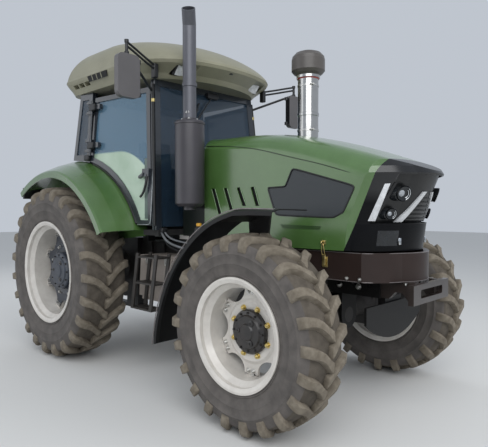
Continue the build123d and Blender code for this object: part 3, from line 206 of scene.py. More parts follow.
# the bars' worn faces, lighter and greyer
bar_rubber = finish("tyre_bar_rubber", "625a4e", "7c7467", scale=22.0, rough=0.85, swing=0.1, grain=0.0008,
                    grain_scale=200.0)

# stations along a bar from its nose at the middle: share of the half width, drop below the crown,
# share of the forward sweep; then share and drop of the same station's foot inside the casing
BAR_LINE = [(-0.07, 0.000, 1.00), (0.06, 0.000, 0.86), (0.22, 0.001, 0.60), (0.40, 0.002, 0.34),
            (0.58, 0.004, 0.16), (0.74, 0.008, 0.05), (0.87, 0.016, 0.00), (0.95, 0.030, -0.02),
            (0.99, 0.050, -0.03), (1.00, 0.075, -0.03), (0.965, 0.105, -0.03)]
BAR_FOOT = [(-0.07, 0.040), (0.06, 0.040), (0.22, 0.041), (0.40, 0.042), (0.58, 0.045), (0.74, 0.050),
            (0.83, 0.058), (0.875, 0.070), (0.90, 0.082), (0.915, 0.096), (0.925, 0.112)]
DRAWN_HEIGHT = 0.034  # height of the bar for which those drops are drawn
NOSE_WIDER, FOOT_WIDER = 1.18, 1.35
TREADS = {"front": (22, 0.036, 0.055, 0.115), "rear": (23, 0.042, 0.062, 0.150)}  # bars, height, width, sweep


def tread_bar(centre, radius, half, high, width, sweep):
    """One bar of the right half of the crown, at three o'clock."""
    last = len(BAR_LINE) - 1
    bpy.ops.object.select_all(action="DESELECT")
    bpy.ops.mesh.primitive_grid_add(x_subdivisions=last, y_subdivisions=1, size=1.0)
    bpy.ops.object.mode_set(mode="EDIT")
    bpy.ops.mesh.extrude_region_move(TRANSFORM_OT_translate={"value": (0, 0, -1)})
    bpy.ops.mesh.select_all(action="SELECT")
    bpy.ops.mesh.normals_make_consistent(inside=False)
    bpy.ops.object.mode_set(mode="OBJECT")
    bar = bpy.context.object
    for v in bar.data.vertices:
        i = round((v.co.x + 0.5) * last)
        share, drop, lead = BAR_LINE[i]
        foot = v.co.z < -0.5
        if foot:
            share, drop = BAR_FOOT[i]
        reach = radius - drop * high / DRAWN_HEIGHT
        wide = width * (NOSE_WIDER if i < 2 else 1.0) * (FOOT_WIDER if foot else 1.0)
        turn = -(lead * sweep + v.co.y * wide) / reach
        v.co = centre + Vector((reach * math.cos(turn), -share * half, reach * math.sin(turn)))
    bpy.ops.object.mode_set(mode="EDIT")
    bpy.ops.mesh.select_all(action="SELECT")
    bpy.ops.mesh.normals_make_consistent(inside=False)
    bpy.ops.object.mode_set(mode="OBJECT")
    crisp = bar.modifiers.new("edge", "BEVEL")
    crisp.width, crisp.segments, crisp.limit_method, crisp.angle_limit = 0.0035, 2, "ANGLE", math.radians(40)
    bpy.ops.object.modifier_apply(modifier=crisp.name)
    return keep("bar", bar_rubber, smooth=30)


for end, (bars, bar_high, bar_width, sweep) in TREADS.items():
    node = f"{end}_wheel_tyre_right"
    low, high = [Vector(p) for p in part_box(node)]
    centre, radius, half = (low + high) / 2, (high.z - low.z) / 2, (high.y - low.y) / 2
    rim_low, rim_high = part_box(f"{end}_wheel_rim_right")
    flange = (rim_high[2] - rim_low[2]) / 2
    crown, wall = radius - bar_high, radius - flange
    # radius and share of the half width: bead, sidewall with its rings, shoulder
    line = [(flange - 0.030, 0.855), (flange + 0.001, 0.860), (flange + 0.010, 0.885),
            (flange + 0.016, 0.915), (flange + 0.020, 0.885), (flange + 0.028, 0.895)]
    line += [(flange + up * wall, share) for up, share in (
        (0.30, 0.950), (0.31, 0.962), (0.33, 0.955), (0.52, 0.968), (0.53, 0.978), (0.55, 0.968))]
    line += [(crown - 0.085, 0.940), (crown - 0.045, 0.900), (crown - 0.024, 0.840), (crown - 0.012, 0.740),
             (crown - 0.004, 0.460)]
    section = [(r, -s * half) for r, s in line] + [(crown, 0)] + [(r, s * half) for r, s in reversed(line)]
    casing = turned("casing", section + section[:1], centre, "Y", rubber, steps=96)
    casing.data.materials.append(tread_rubber)
    for face in casing.data.polygons:
        if math.hypot(face.center.x - centre.x, face.center.z - centre.z) > crown - 0.03:
            face.material_index = 1
    bar = tread_bar(centre, radius, half, bar_high, bar_width, sweep)
    other = copy_of(bar, about((0, centre.y, 0), MIRROR))
    ring = around(bar, centre, "Y", bars) + around(other, centre, "Y", bars, start=math.pi / bars)
    tyre = joined(f"{end}_tyre_right", [casing] + ring)
    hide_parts(node)
    twin = both_sides(tyre, f"{end}_right_wheel", f"{end}_left_wheel")
    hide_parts(f"{end}_wheel_tyre_left")

# ------------------------------------------------------------ wheels
# Rims: rolled steel with a welded drop centre, sprayed silver. Discs are bolted to their lugs with
# zinc-plated bolts and to the drums with nuts; the drums are black castings with a bolted cover.

# silver enamel sprayed over rolled steel: pale and satin, hardly metallic
rim_silver = finish("wheel_silver_enamel", "c3beb7", "d2cec7", scale=9.0, rough=0.36, Metallic=0.12,
                    grain=0.00015, grain_scale=300.0)
# cast iron under gloss black: the sand's grain of about 3 mm still shows
drum_black = finish("drum_casting_enamel", "161413", "26211f", scale=14.0, rough=0.34, grain=0.0006,
                    grain_scale=320.0, Coat_Weight=0.3)
# the rear drum and disc: the same casting, its black enamel tinted blue as a painted reflection of the sky
rear_disc_sky_tint = finish("rear_disc_painted_sky", "2b3039", "3a404b", scale=14.0, rough=0.34, grain=0.0005,
                   grain_scale=320.0)
# zinc plating, passivated straw yellow or clear: a soft metal shine
yellow_zinc = finish("yellow_zinc", "bfa968", "d9c890", scale=60.0, rough=0.34, Metallic=1.0)
bright_zinc = finish("bright_zinc", "b4b4b1", "d3d2ce", scale=60.0, rough=0.30, Metallic=1.0)
# moulded black ABS: even and satin, finely grained
moulded_black = finish("moulded_black", "17181a", "1f2022", scale=12.0, rough=0.45, grain=0.0003,
                       grain_scale=600.0)
SIDES = {"right": -1, "left": 1}
paint(rim_silver, *[f"{end}_wheel_rim_{side}" for end in TREADS for side in SIDES])
paint(drum_black, *[f"front_wheel_hub_{side}" for side in SIDES])
paint(rear_disc_sky_tint, *[f"rear_wheel_hub_{side}" for side in SIDES])


def nut(at, towards, across, high, made):
    """Hexagon nut, sized across its flats, on a washer with the stud through it."""
    towards = Vector(towards).normalized()
    at, turn = Vector(at), towards.to_track_quat("Z", "Y").to_euler()
    bpy.ops.object.select_all(action="DESELECT")
    bpy.ops.mesh.primitive_cylinder_add(vertices=6, radius=across * 0.577, depth=high,
                                        location=at + towards * high * 0.6, rotation=turn)
    bpy.ops.object.mode_set(mode="EDIT")
    bpy.ops.mesh.bevel(offset=across * 0.06, segments=1)
    bpy.ops.mesh.primitive_cylinder_add(vertices=16, radius=across * 0.8, depth=high * 0.2,
                                        location=at + towards * high * 0.08, rotation=turn)
    bpy.ops.mesh.primitive_cylinder_add(vertices=12, radius=across * 0.3, depth=high * 1.2,
                                        location=at + towards * high * 0.8, rotation=turn)
    bpy.ops.mesh.bevel(offset=across * 0.05, segments=1)
    return keep("nut", made, smooth=30)


def tube(name, points, radius, made, body=None, rings=10):
    """Round bar or pipe along a smooth line through given points."""
    line = bpy.data.curves.new(name, "CURVE")
    line.dimensions, line.bevel_depth, line.bevel_resolution, line.use_fill_caps = "3D", radius, 3, True
    run = line.splines.new("NURBS")
    run.points.add(len(points) - 1)
    for spot, place in zip(run.points, points):
        spot.co = (*place, 1.0)
    run.order_u, run.use_endpoint_u, run.resolution_u = 3, True, rings
    piece = bpy.data.objects.new(name, line)
    bpy.context.scene.collection.objects.link(piece)
    bpy.ops.object.select_all(action="DESELECT")
    piece.select_set(True)
    bpy.context.view_layer.objects.active = piece
    bpy.ops.object.convert(target="MESH")
    return keep(name, made, body, smooth=40)


# face of the disc below the drum's cover; stud circle and studs; circle and number of the rim's ears;
# cover's bolt circle; valve beyond the ears; plating of the nuts
WHEEL_BOLTS = {"front": (0.0515, 0.1675, 8, 0.267, 6, 0.129, 0.045, yellow_zinc),
               "rear": (0.0825, 0.250, 8, 0.390, 8, 0.162, 0.052, bright_zinc)}
VALVE_TURN = 1.45
for end, (drop, stud_r, studs, ear_r, ears, cover_r, valve, plating) in WHEEL_BOLTS.items():
    low, high = [Vector(p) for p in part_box(f"{end}_wheel_hub_right")]
    centre = Vector(((low.x + high.x) / 2, low.y, (low.z + high.z) / 2))
    face = low.y + drop
    out = (0, -1, 0)
    stud = nut((centre.x + stud_r, face, centre.z), out, 0.027, 0.018, plating)
    bolt = nut((centre.x + cover_r, low.y + 0.0215, centre.z), out, 0.013, 0.009, drum_black)
    fitted = {"wheel_nuts": around(stud, centre, "Y", studs, math.pi / studs),
              "cover_bolts": around(bolt, centre, "Y", 12), "ear_bolts": [], "cover_plugs": []}
    for shift in (-0.022, 0.022):
        ear = nut((centre.x + ear_r, face + 0.0035, centre.z + shift), out, 0.022, 0.014, bright_zinc)
        fitted["ear_bolts"] += around(ear, centre, "Y", ears, math.pi / ears)
    for i, size in enumerate((0.021, 0.016, 0.021)):
        plug = turned("plug", [(0, 0.002), (size, 0.002), (size, -0.004), (size * 0.8, -0.0065),
                               (size * 0.35, -0.0065), (size * 0.30, -0.003), (0, -0.003)],
                      (centre.x + cover_r * 0.60, low.y + 0.0085, centre.z), "Y", drum_black, steps=20)
        fitted["cover_plugs"] += around(plug, centre, "Y", 1, 1.1 + i * 2.094)
    valve_x = centre.x + ear_r + valve
    stem = tube("stem", [(valve_x, face + 0.05, centre.z), (valve_x - 0.02, face + 0.03, centre.z),
                         (valve_x - 0.024, face - 0.012, centre.z)], 0.0055, moulded_black)
    tip = nut((valve_x - 0.024, face - 0.012, centre.z), out, 0.010, 0.012, bright_zinc)
    fitted["valve_stem"] = around(stem, centre, "Y", 1, VALVE_TURN)
    fitted["valve_cap"] = around(tip, centre, "Y", 1, VALVE_TURN)
    for name, pieces in fitted.items():
        both_sides(joined(f"{end}_{name}_right", pieces), f"{end}_right_wheel", f"{end}_left_wheel")

# ------------------------------------------------------------ hood
# Steel pressings in olive green two-pack enamel: smooth and glossy, with a faint orange peel of
# about 2 mm. Slots in the sides let the engine's heat out over dark plates of painted shade, and a fine
# mesh panel sits in a rubber edge. The cowl behind it is a fixed pressing in the same green.
enamel = finish("olive_enamel", "41602f", "4b6b39", scale=3.0, rough=0.20, swing=0.06, grain=0.00004,
                grain_scale=500.0, Coat_Weight=1.0, Coat_Roughness=0.27)
paint(enamel, "hood_shell", "rear_fender_left", "rear_fender_right")

# smoked steel mesh: 4 mm holes drawn at 9 mm so that they show
mesh_steel, tree, face, place = surface("perforated_smoked_steel")
spin = add(tree, "Mapping", {"Vector": place}, Rotation=(0, math.radians(45), 0), Scale=(110, 110, 110))
across, upward = [add(tree, "TexWave", {"Vector": spin.outputs["Vector"]}, wave_type="BANDS",
                      bands_direction=way, scale=0.314).outputs["Fac"] for way in "XZ"]
holes = add(tree, "Math", {0: across, 1: upward}, operation="MULTIPLY").outputs["Value"]
mix = add(tree, "ValToRGB", {"Fac": holes})
mix.color_ramp.elements[0].position, mix.color_ramp.elements[0].color = 0.30, tone("3c4043")
mix.color_ramp.elements[1].position, mix.color_ramp.elements[1].color = 0.62, tone("2a2d2f")
tree.links.new(mix.outputs["Color"], face.inputs["Base Color"])
relief = add(tree, "Bump", {"Height": holes}, distance=0.0006, strength=1.0, invert=True)
tree.links.new(relief.outputs["Normal"], face.inputs["Normal"])
face.inputs["Roughness"].default_value = 0.28
face.inputs["Specular IOR Level"].default_value = 0.3
paint(mesh_steel, "hood_mesh_panels")

# matt black sheet behind the slots and in the roof's vent: painted shade, dark enough to look like a hole
baffle_black = finish("baffle_black", "0b0c0c", "141514", scale=20.0, rough=0.7)
# extruded rubber: near black and dull
seal_rubber = finish("seal_rubber", "121314", "1b1c1d", scale=30.0, rough=0.55, grain=0.0003,
                     grain_scale=500.0)
# the same enamel, painted lighter as a highlight where a pressed edge catches the light, darker as painted
# shade where it lies in shade, and darkest as painted shade where it closes to a seam
lip_painted_highlight = finish("lip_enamel_painted_highlight", "56744a", "617f54", scale=8.0, rough=0.2, Coat_Weight=1.0)
pressed_shade = finish("pressed_shade_enamel", "2c4421", "314a26", scale=8.0, rough=0.3)
seam_shadow = finish("seam_shadow", "1d2b17", "24351c", scale=20.0, rough=0.5)


def block(name, low, high, edge, made, body=None):
    """Folded or cast block between two corners, its edges rounded."""
    low, high = Vector(low), Vector(high)
    bpy.ops.object.select_all(action="DESELECT")
    bpy.ops.mesh.primitive_cube_add(size=1.0, location=(low + high) / 2)
    bpy.context.object.scale = [abs(v) for v in high - low]
    bpy.ops.object.transform_apply(location=False, rotation=False, scale=True)
    bpy.ops.object.mode_set(mode="EDIT")
    bpy.ops.mesh.bevel(offset=edge, segments=3, affect="EDGES")
    return keep(name, made, body)


def plate(name, corners, thick, made, body=None, edge=0.0):
    """Flat sheet through corners in order, thickened away from the side where they run anticlockwise."""
    bpy.ops.object.select_all(action="DESELECT")
    bpy.ops.mesh.primitive_circle_add(vertices=len(corners), radius=1.0, fill_type="NGON")
    piece = bpy.context.object
    for v, corner in zip(piece.data.vertices, corners):
        v.co = corner
    bpy.ops.object.mode_set(mode="EDIT")
    bpy.ops.mesh.select_all(action="SELECT")
    first, second, last = [Vector(corners[i]) for i in (0, 1, -1)]
    normal = (last - first).cross(second - first).normalized()
    bpy.ops.mesh.extrude_region_move(TRANSFORM_OT_translate={"value": normal * thick})
    bpy.ops.mesh.select_all(action="SELECT")
    bpy.ops.mesh.normals_make_consistent(inside=False)
    if edge:
        bpy.ops.mesh.bevel(offset=edge, segments=2, affect="EDGES")
    return keep(name, made, body)


def banded(name, axis, cuts, grain=0.0002, shine=0.5):
    """Finish that changes at places along an axis: each cut is (where it starts, colour, rough, metal)."""
    made, tree, face, place = surface(name)
    along = add(tree, "SeparateXYZ", {"Vector": place}).outputs[axis]
    run = add(tree, "Math", {0: along}, operation="ABSOLUTE").outputs["Value"]
    low, high = cuts[0][0], cuts[-1][0] + 0.5
    span = add(tree, "MapRange", {"Value": run}, from_min=low, from_max=high).outputs["Result"]
    for socket, index in (("Base Color", 1), ("Roughness", 2), ("Metallic", 3)):
        ramp = add(tree, "ValToRGB", {"Fac": span})
        ramp.color_ramp.interpolation = "CONSTANT"
        while len(ramp.color_ramp.elements) < len(cuts):
            ramp.color_ramp.elements.new(0.5)
        for stop, cut in zip(ramp.color_ramp.elements, cuts):
            stop.position = (cut[0] - low) / (high - low)
            stop.color = tone(cut[1]) if index == 1 else (cut[index],) * 3 + (1,)
        level = ramp.outputs["Color"]
        if index == 1:
            drift = add(tree, "TexNoise", {"Vector": place}, scale=9.0, detail=5.0).outputs["Fac"]
            shade = add(tree, "MapRange", {"Value": drift}, to_min=0.86, to_max=1.14).outputs["Result"]
            level = add(tree, "VectorMath", {0: level, "Scale": shade}, operation="SCALE").outputs["Vector"]
        tree.links.new(level, face.inputs[socket])
    face.inputs["Specular IOR Level"].default_value = shine
    fine = add(tree, "TexNoise", {"Vector": place}, scale=400.0, detail=2.0)
    relief = add(tree, "Bump", {"Height": fine.outputs["Fac"]}, distance=grain, strength=1.0)
    tree.links.new(relief.outputs["Normal"], face.inputs["Normal"])
    return made


# the cowl is painted dark below its green top, as shade on its flanks
paint(banded("cowl_green_over_painted_shade", "Z", [(1.2, "121a15", 0.5, 0.0), (1.94, "45633a", 0.25, 0.0)]), "cowl")
REAR_EDGE = 0.4725
# top and foot of each slot, x from the hood's rear edge
SLOTS = [(0.111, 1.665, 0.198, 1.437), (0.260, 1.665, 0.331, 1.480), (0.412, 1.665, 0.480, 1.512),
         (0.569, 1.665, 0.623, 1.512)]
HALF_SLOT = 0.045  # a plate of painted shade reaches this far ahead and behind the slot's middle line
SHADE_PLATE_Y, SKIN_Y = -0.425, -0.4485  # the outer face of a plate of painted shade, and the hood's skin round the slots
for i, (x0, z0, x1, z1) in enumerate(SLOTS):
    x0, x1 = REAR_EDGE + x0, REAR_EDGE + x1
    both_sides(plate(f"slot_baffle_{i}_right",
                     [(x0 - HALF_SLOT, SHADE_PLATE_Y, z0 + 0.02), (x0 + HALF_SLOT, SHADE_PLATE_Y, z0 + 0.02),
                      (x1 + HALF_SLOT, SHADE_PLATE_Y, z1 - 0.02), (x1 - HALF_SLOT, SHADE_PLATE_Y, z1 - 0.02)],
                     0.004, baffle_black), "hood")
    lean = (x1 - x0) / (z0 - z1)
    # each slot's rear lip is plain enamel; its front lip is painted lighter as a highlight
    for name, edge_x, made in (("rear", -0.025, enamel), ("front", 0.021, lip_painted_highlight)):
        top, foot = x0 + edge_x, x1 + edge_x
        both_sides(tube(f"slot_lip_{name}_{i}_right",
                        [(top, SKIN_Y, z0 - 0.004), (top + lean * 0.06, SKIN_Y - 0.001, z0 - 0.06),
                         (foot - lean * 0.06, SKIN_Y - 0.001, z1 + 0.06), (foot, SKIN_Y, z1 + 0.004)],
                        0.0035, made, rings=6), "hood")

# pressed seam along each side as a line of painted shade, rubber edge round the mesh, and a thin plate of
# painted shade for the recess below it
both_sides(tube("hood_seam_right", [(0.50, -0.4435, 2.032), (0.716, -0.4385, 2.017), (0.955, -0.4445, 1.984),
                                    (1.141, -0.4465, 1.949), (1.419, -0.4445, 1.875), (1.687, -0.4405, 1.810),
                                    (1.89, -0.4345, 1.747), (2.05, -0.4215, 1.697)],
                0.0032, seam_shadow, rings=8), "hood")
PANEL = [(1.200, 1.652), (1.376, 1.657), (1.444, 1.790), (1.970, 1.644), (1.879, 1.467), (1.801, 1.429),
         (1.284, 1.442)]
rim = []
for (x0, z0), (x1, z1) in zip(PANEL, PANEL[1:] + PANEL[:1]):
    for t in (0.05, 0.35, 0.65, 0.95):
        x = x0 + (x1 - x0) * t
        narrows = max(0.0, x - 1.45) * 0.025  # the hood draws in ahead of there
        rim.append((x, -0.4465 + narrows, z0 + (z1 - z0) * t))
both_sides(tube("mesh_edge_right", rim + rim[:1], 0.006, seal_rubber, rings=4), "hood")
both_sides(plate("hood_recess_right", [(1.33, -0.4458, 1.372), (1.70, -0.4405, 1.366),
                                       (1.685, -0.4405, 1.340), (1.352, -0.4458, 1.344)],
                 0.0008, pressed_shade), "hood")

# ------------------------------------------------------------ nose, lamps and grille
# Gloss black moulding with a deep opening. Each lamp is a shallow dark bowl with a projector lens and
# chromed rings; two slanting light guides a side are moulded in white polycarbonate.
gloss_black = finish("gloss_black_abs", "07080a", "0b0c0f", rough=0.24, swing=0.04)
# the moulding's gloss falls off below the lamps: a painted reflection of the dark ground there
tree = gloss_black.node_tree
height = add(tree, "SeparateXYZ", {"Vector": add(tree, "TexCoord").outputs["Object"]}).outputs["Z"]
shine = add(tree, "MapRange", {"Value": height}, from_min=1.53, from_max=1.62, to_min=0.14, to_max=0.60)
gloss_level = tree.nodes["Principled BSDF"].inputs["Specular IOR Level"]
gloss_level.default_value = 0.4
tree.links.new(shine.outputs["Result"], gloss_level)
paint(gloss_black, "hood_nose")
# the grille is moulded in the same black, less glossy
paint(finish("grille_black", "0a0b0b", "101112", scale=14.0, rough=0.3, grain=0.0002), "grille")
# white polycarbonate: milky and glossy, smooth from its mould
guide_white = finish("light_guide_white", "b6b8ba", "d4d6d8", scale=30.0, rough=0.25, swing=0.05)
paint(banded("light_guides", "Y", [(0.0, "b6b8ba", 0.25, 0.0), (0.25, "0b0c0f", 0.2, 0.0)]), "hood_trim")
# smoked inner moulding of the lamps: dark, with a satin shine
lamp_housing = finish("lamp_housing", "17191b", "202326", scale=20.0, rough=0.25)
paint(lamp_housing, "headlamps")
# chrome laid on plastic in a vacuum: mirror bright; the projector is a greyer bright metal whose pale
# grey is partly a painted highlight on the lens
chrome = finish("vacuum_chrome", "c6cacd", "dfe2e4", scale=20.0, rough=0.08, swing=0.04, Metallic=1.0)
projector_highlight_grey = finish("lamp_reflector", "8b9095", "a5aaae", scale=60.0, rough=0.2, Metallic=0.2)

# centre of each CAD lamp's face, the way it looks, and its radius
LAMPS = {"main_lamp": ((2.2268, -0.252, 1.592), (0.824, -0.472, -0.313), 0.050),
         "small_lamp": ((2.1525, -0.282, 1.456), (0.803, -0.514, -0.303), 0.037)}
# sections of a lamp's parts: share of its radius, place along its axis
BOWL = [(0.96, -0.008), (1.02, 0.000), (0.98, 0.005), (0.88, 0.004), (0.60, -0.001), (0.30, -0.003),
        (0, -0.0032)]
PROJECTOR = [(0.44, -0.004), (0.44, 0.003), (0.30, 0.008), (0, 0.010)]
BEZEL = [(1.02, -0.010), (1.10, 0.001), (1.07, 0.006), (1.01, 0.003), (0.99, -0.008)]
for name, (centre, out, radius) in LAMPS.items():
    out = Vector(out).normalized()
    at = Vector(centre) + out * 0.005
    aside = at + Vector((0, -radius * 0.36, 0))
    bowl, projector, bezel = [[(radius * share, deep) for share, deep in line]
                              for line in (BOWL, PROJECTOR, BEZEL)]
    pieces = [turned(f"{name}_bowl_right", bowl, at, "X", lamp_housing, steps=40, smooth=50),
              turned(f"{name}_projector_right", projector, aside, "X", projector_highlight_grey, steps=28, smooth=50)]
    bows = []
    for reach in (radius * 0.62, radius * 0.90):
        turns = [math.radians(a) for a in range(-62, 66, 8)]
        bow = [at + Vector((0.006, reach * math.cos(a), reach * math.sin(a))) for a in turns]
        bows.append(tube("bow", bow, radius * 0.055, chrome, rings=8))
    pieces.append(joined(f"{name}_rings_right", bows))
    pieces.append(turned(f"{name}_bezel_right", bezel, at, "X", gloss_black, steps=40))
    swing = about(at, Vector((1, 0, 0)).rotation_difference(out).to_matrix().to_4x4())
    for piece in pieces:
        piece.data.transform(swing)
        both_sides(piece, "hood")
# chromed indicator in the lower lens, and the wider face of the outer light guide
both_sides(block("indicator_right", (2.166, -0.208, 1.243), (2.181, -0.182, 1.292), 0.004, chrome), "hood")
both_sides(plate("outer_guide_right", [(2.150, -0.3625, 1.655), (2.178, -0.3400, 1.657),
                                       (2.079, -0.358, 1.408), (2.041, -0.3890, 1.408)],
                 0.006, guide_white, edge=0.0015), "hood")

# ------------------------------------------------------------ front frame, latch and bracket
# Bent plate round the nose, painted dark brown-black, with a sprung draw latch in yellow zinc that
# holds the hood, and a row of bolts under its front edge that carry a slotted bracket.

# brush-thick enamel over plate: satin, nearly even; the guard below it is painted near black as shade
paint(finish("frame_enamel", "251f1d", "322a27", scale=6.0, rough=0.32, swing=0.1, grain=0.0002,
             grain_scale=250.0, Coat_Weight=0.4), "tow_bracket")
paint(banded("frame_enamel_guard_painted_shade", "Z", [(0.5, "0b0a0a", 0.5, 0.0), (0.985, "2d2320", 0.3, 0.0)],
             shine=0.3), "front_frame")
joined("bracket_bolts", [nut((x, side * y, 0.988), (0, 0, -1), 0.018, 0.012, bright_zinc)
                         for x, y in ((2.250, 0.02), (2.246, 0.08), (2.238, 0.14), (2.223, 0.2))
                         for side in SIDES.values()], "chassis")
LATCH_X, LATCH_Y = 1.722, -0.4205
pieces = [block(part, (LATCH_X - half, LATCH_Y - proud, low), (LATCH_X + half, LATCH_Y - back, high), edge,
                yellow_zinc)
          for part, half, proud, back, low, high, edge in (
              ("latch", 0.022, 0.006, 0.0, 1.075, 1.150, 0.002),
              ("lever", 0.014, 0.022, 0.008, 1.085, 1.168, 0.004))]
# half of the bail, up from its foot: aside, proud, height
BAIL = [(-0.012, 0.014, 1.150), (-0.012, 0.030, 1.185), (-0.008, 0.034, 1.232), (0.0, 0.034, 1.244)]
BAIL += [(-aside, proud, z) for aside, proud, z in BAIL[-2::-1]]
pieces.append(tube("bail", [(LATCH_X + aside, LATCH_Y - proud, z) for aside, proud, z in BAIL], 0.0035,
                   yellow_zinc))
pieces += [nut((LATCH_X, LATCH_Y - 0.006, z), (0, -1, 0), 0.010, 0.006, yellow_zinc) for z in (1.088, 1.138)]
both_sides(joined("hood_latch_right", pieces))
both_sides(joined("latch_catch_right", [
    block("catch", (LATCH_X - 0.018, -0.452, 1.238), (LATCH_X + 0.018, -0.436, 1.268), 0.003, yellow_zinc),
    tube("hook", [(LATCH_X, -0.448, 1.262), (LATCH_X, -0.470, 1.262), (LATCH_X, -0.472, 1.248)], 0.005,
         yellow_zinc)]), "hood")
# bolts through the frame's side and its lower channel, and the band's rolled edges in pale grey as a
# painted highlight
both_sides(joined("frame_side_bolts_right", [nut((x, LATCH_Y, 1.012), (0, -1, 0), 0.018, 0.012, bright_zinc)
                                             for x in (1.900, 2.000)]))
both_sides(joined("channel_bolts_right", [
    nut((x, -0.1905, z), (0, -1, 0), across, 0.014, bright_zinc)
    for z, across, places in ((0.925, 0.030, (1.692, 1.855)), (0.965, 0.018, (1.70, 1.86))) for x in places]))
edge_painted_highlight = finish("enamel_edge_painted_highlight", "6e6866", "858080", scale=40.0, rough=0.35, Metallic=0.4)
bend = [(1.12, -0.421), (1.60, -0.421), (1.98, -0.421), (2.04, -0.414), (2.150, -0.294), (2.180, -0.238),
        (2.207, -0.182), (2.227, -0.149), (2.249, -0.095), (2.261, -0.039), (2.264, 0.0)]
bend += [(x, -y) for x, y in bend[-2::-1]]
for name, z in (("top", 1.188), ("low", 0.993)):
    tube(f"frame_edge_{name}", [(x, y, z) for x, y in bend], 0.0025, edge_painted_highlight, "chassis", rings=6)

# ------------------------------------------------------------ axle, knuckles, front fenders
# Castings and forgings under black enamel. The fenders are thin folded guards bolted to a stay that
# stands on the knuckle, so they steer with the wheel.

# enamel over sand castings: satin black, with the sand's coarse grain
casting_black = finish("casting_enamel", "171615", "242120", scale=12.0, rough=0.5, swing=0.2, grain=0.0012,
                       grain_scale=180.0)
paint(casting_black, "front_axle", "knuckle_left", "knuckle_right", "engine", "transmission", "radiator",
      "drawbar", "lower_links", "lift_arms", "lift_rods")
# the guards are a deeper black with little sheen
paint(finish("guard_black", "060606", "0a0a0b", scale=5.0, rough=0.42, swing=0.08, grain=0.0002,
             Specular_IOR_Level=0.3), "front_fender_left", "front_fender_right")
# turned bar, bare and oiled: grey with a soft metal shine
steel_bar = finish("turned_steel", "8d8c8a", "a5a3a0", scale=30.0, rough=0.32, Metallic=1.0)
paint(steel_bar, "tie_rod", "top_link")
AXLE_X, AXLE_Z = 1.4825, 0.665
STAY_Y, EDGE_Y = 0.7045, 1.1005  # outer face of the stay, outer edge of the guard
# rolled outer edge of the guard about the axle: degrees from ahead, radius
CREST = [(68, 0.889), (80, 0.842), (91, 0.825), (107, 0.790), (122, 0.768), (137, 0.762), (152, 0.776),
         (167, 0.808), (181, 0.858), (194, 0.920)]
for name, side in SIDES.items():
    body = f"front_{name}_knuckle"
    stay = [nut((x, side * STAY_Y, AXLE_Z + dz), (0, side, 0), 0.020, 0.012, bright_zinc)
            for x in (1.3265, 1.3965) for dz in (0.03, 0.075)]
    joined(f"stay_bolts_{name}", stay, body)
    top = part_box(f"front_fender_{name}")[1][2] - 0.012
    joined(f"fender_bolts_{name}", [nut((x, side * y, top), (0, 0, 1), 0.016, 0.008, bright_zinc)
                                    for x in (1.475, 1.595) for y in (0.83, 0.94)], body)
    # the pale bead along the guard's outer edge is a painted highlight
    crest = [(AXLE_X + r * math.cos(math.radians(a)), side * EDGE_Y,
              AXLE_Z - 0.002 + r * math.sin(math.radians(a))) for a, r in CREST]
    tube(f"fender_bead_{name}", crest, 0.004, edge_painted_highlight, body, rings=8)
# guard tube over the shaft that drives the front axle
tube("drive_shaft_guard", [(-0.30, 0, 0.600), (0.40, 0, 0.600), (1.28, 0, 0.610)], 0.055, casting_black,
     "chassis")

# ------------------------------------------------------------ cab frame and doors
# Steel tube and folded posts in black semi-gloss, with black rubber seals round the glass. Each door
# opens by a moulded lever outside and hangs on two hinge blocks joined by a bar.

# powder coat over tube: blue-black and even
frame_black = finish("cab_frame_black", "1e2329", "272c33", scale=5.0, rough=0.26, swing=0.08,
                     Coat_Weight=0.5)
paint(frame_black, "cab_front_frame", "cab_rear_frame", "door_left", "door_right")
# grained grey plastic inside, and a coarse rubber mat on the floor
paint(finish("interior_grey", "2b2d2e", "353738", scale=20.0, rough=0.65, grain=0.0006, grain_scale=400.0),
      "side_console", "dashboard", "seat_base")
paint(moulded_black, "steering_wheel")
paint(finish("floor_mat_rubber", "1c1c1c", "242423", scale=30.0, rough=0.75, grain=0.001, grain_scale=120.0),
      "cab_floor")

# tinted safety glass, blue-grey; thin, so it is drawn as a see-through coat with a hard gloss
window_glass = bpy.data.materials.new("tinted_safety_glass")
window_glass.use_nodes = True
face = window_glass.node_tree.nodes["Principled BSDF"]
face.inputs["Base Color"].default_value = tone("293a4a")
face.inputs["Roughness"].default_value = 0.05
face.inputs["Alpha"].default_value = 0.62
window_glass.surface_render_method = "BLENDED"
paint(window_glass, "cab_windows")

# door glass: the same pane, lighter and bluer above as a painted reflection of the sky, and pale green over
# its lower half up to an edge that is level behind the arch's crown and drops ahead of it with the square
# of the distance
CROWN_X, GREEN_TOP, GREEN_DROP = -0.45, 2.030, 1.10
door_glass_tones, tree, face, place = surface("door_glass_sky_and_green")
parts = add(tree, "SeparateXYZ", {"Vector": place})
ahead = add(tree, "Math", {0: parts.outputs["X"], 1: CROWN_X}, operation="SUBTRACT").outputs["Value"]
ahead = add(tree, "Math", {0: ahead, 1: 0.0}, operation="MAXIMUM").outputs["Value"]
square = add(tree, "Math", {0: ahead, 1: 2.0}, operation="POWER").outputs["Value"]
fall = add(tree, "Math", {0: square, 1: GREEN_DROP, 2: parts.outputs["Z"]}, operation="MULTIPLY_ADD")
edge = add(tree, "MapRange", {"Value": fall.outputs["Value"]}, from_min=GREEN_TOP, from_max=GREEN_TOP + 0.018)
drift = add(tree, "TexNoise", {"Vector": place}, scale=3.0, detail=3.0)
lower_green = add(tree, "ValToRGB", {"Fac": drift.outputs["Fac"]})
lower_green.color_ramp.elements[0].position, lower_green.color_ramp.elements[0].color = 0.35, tone("9cb29d")
lower_green.color_ramp.elements[1].position, lower_green.color_ramp.elements[1].color = 0.65, tone("b0c3b1")
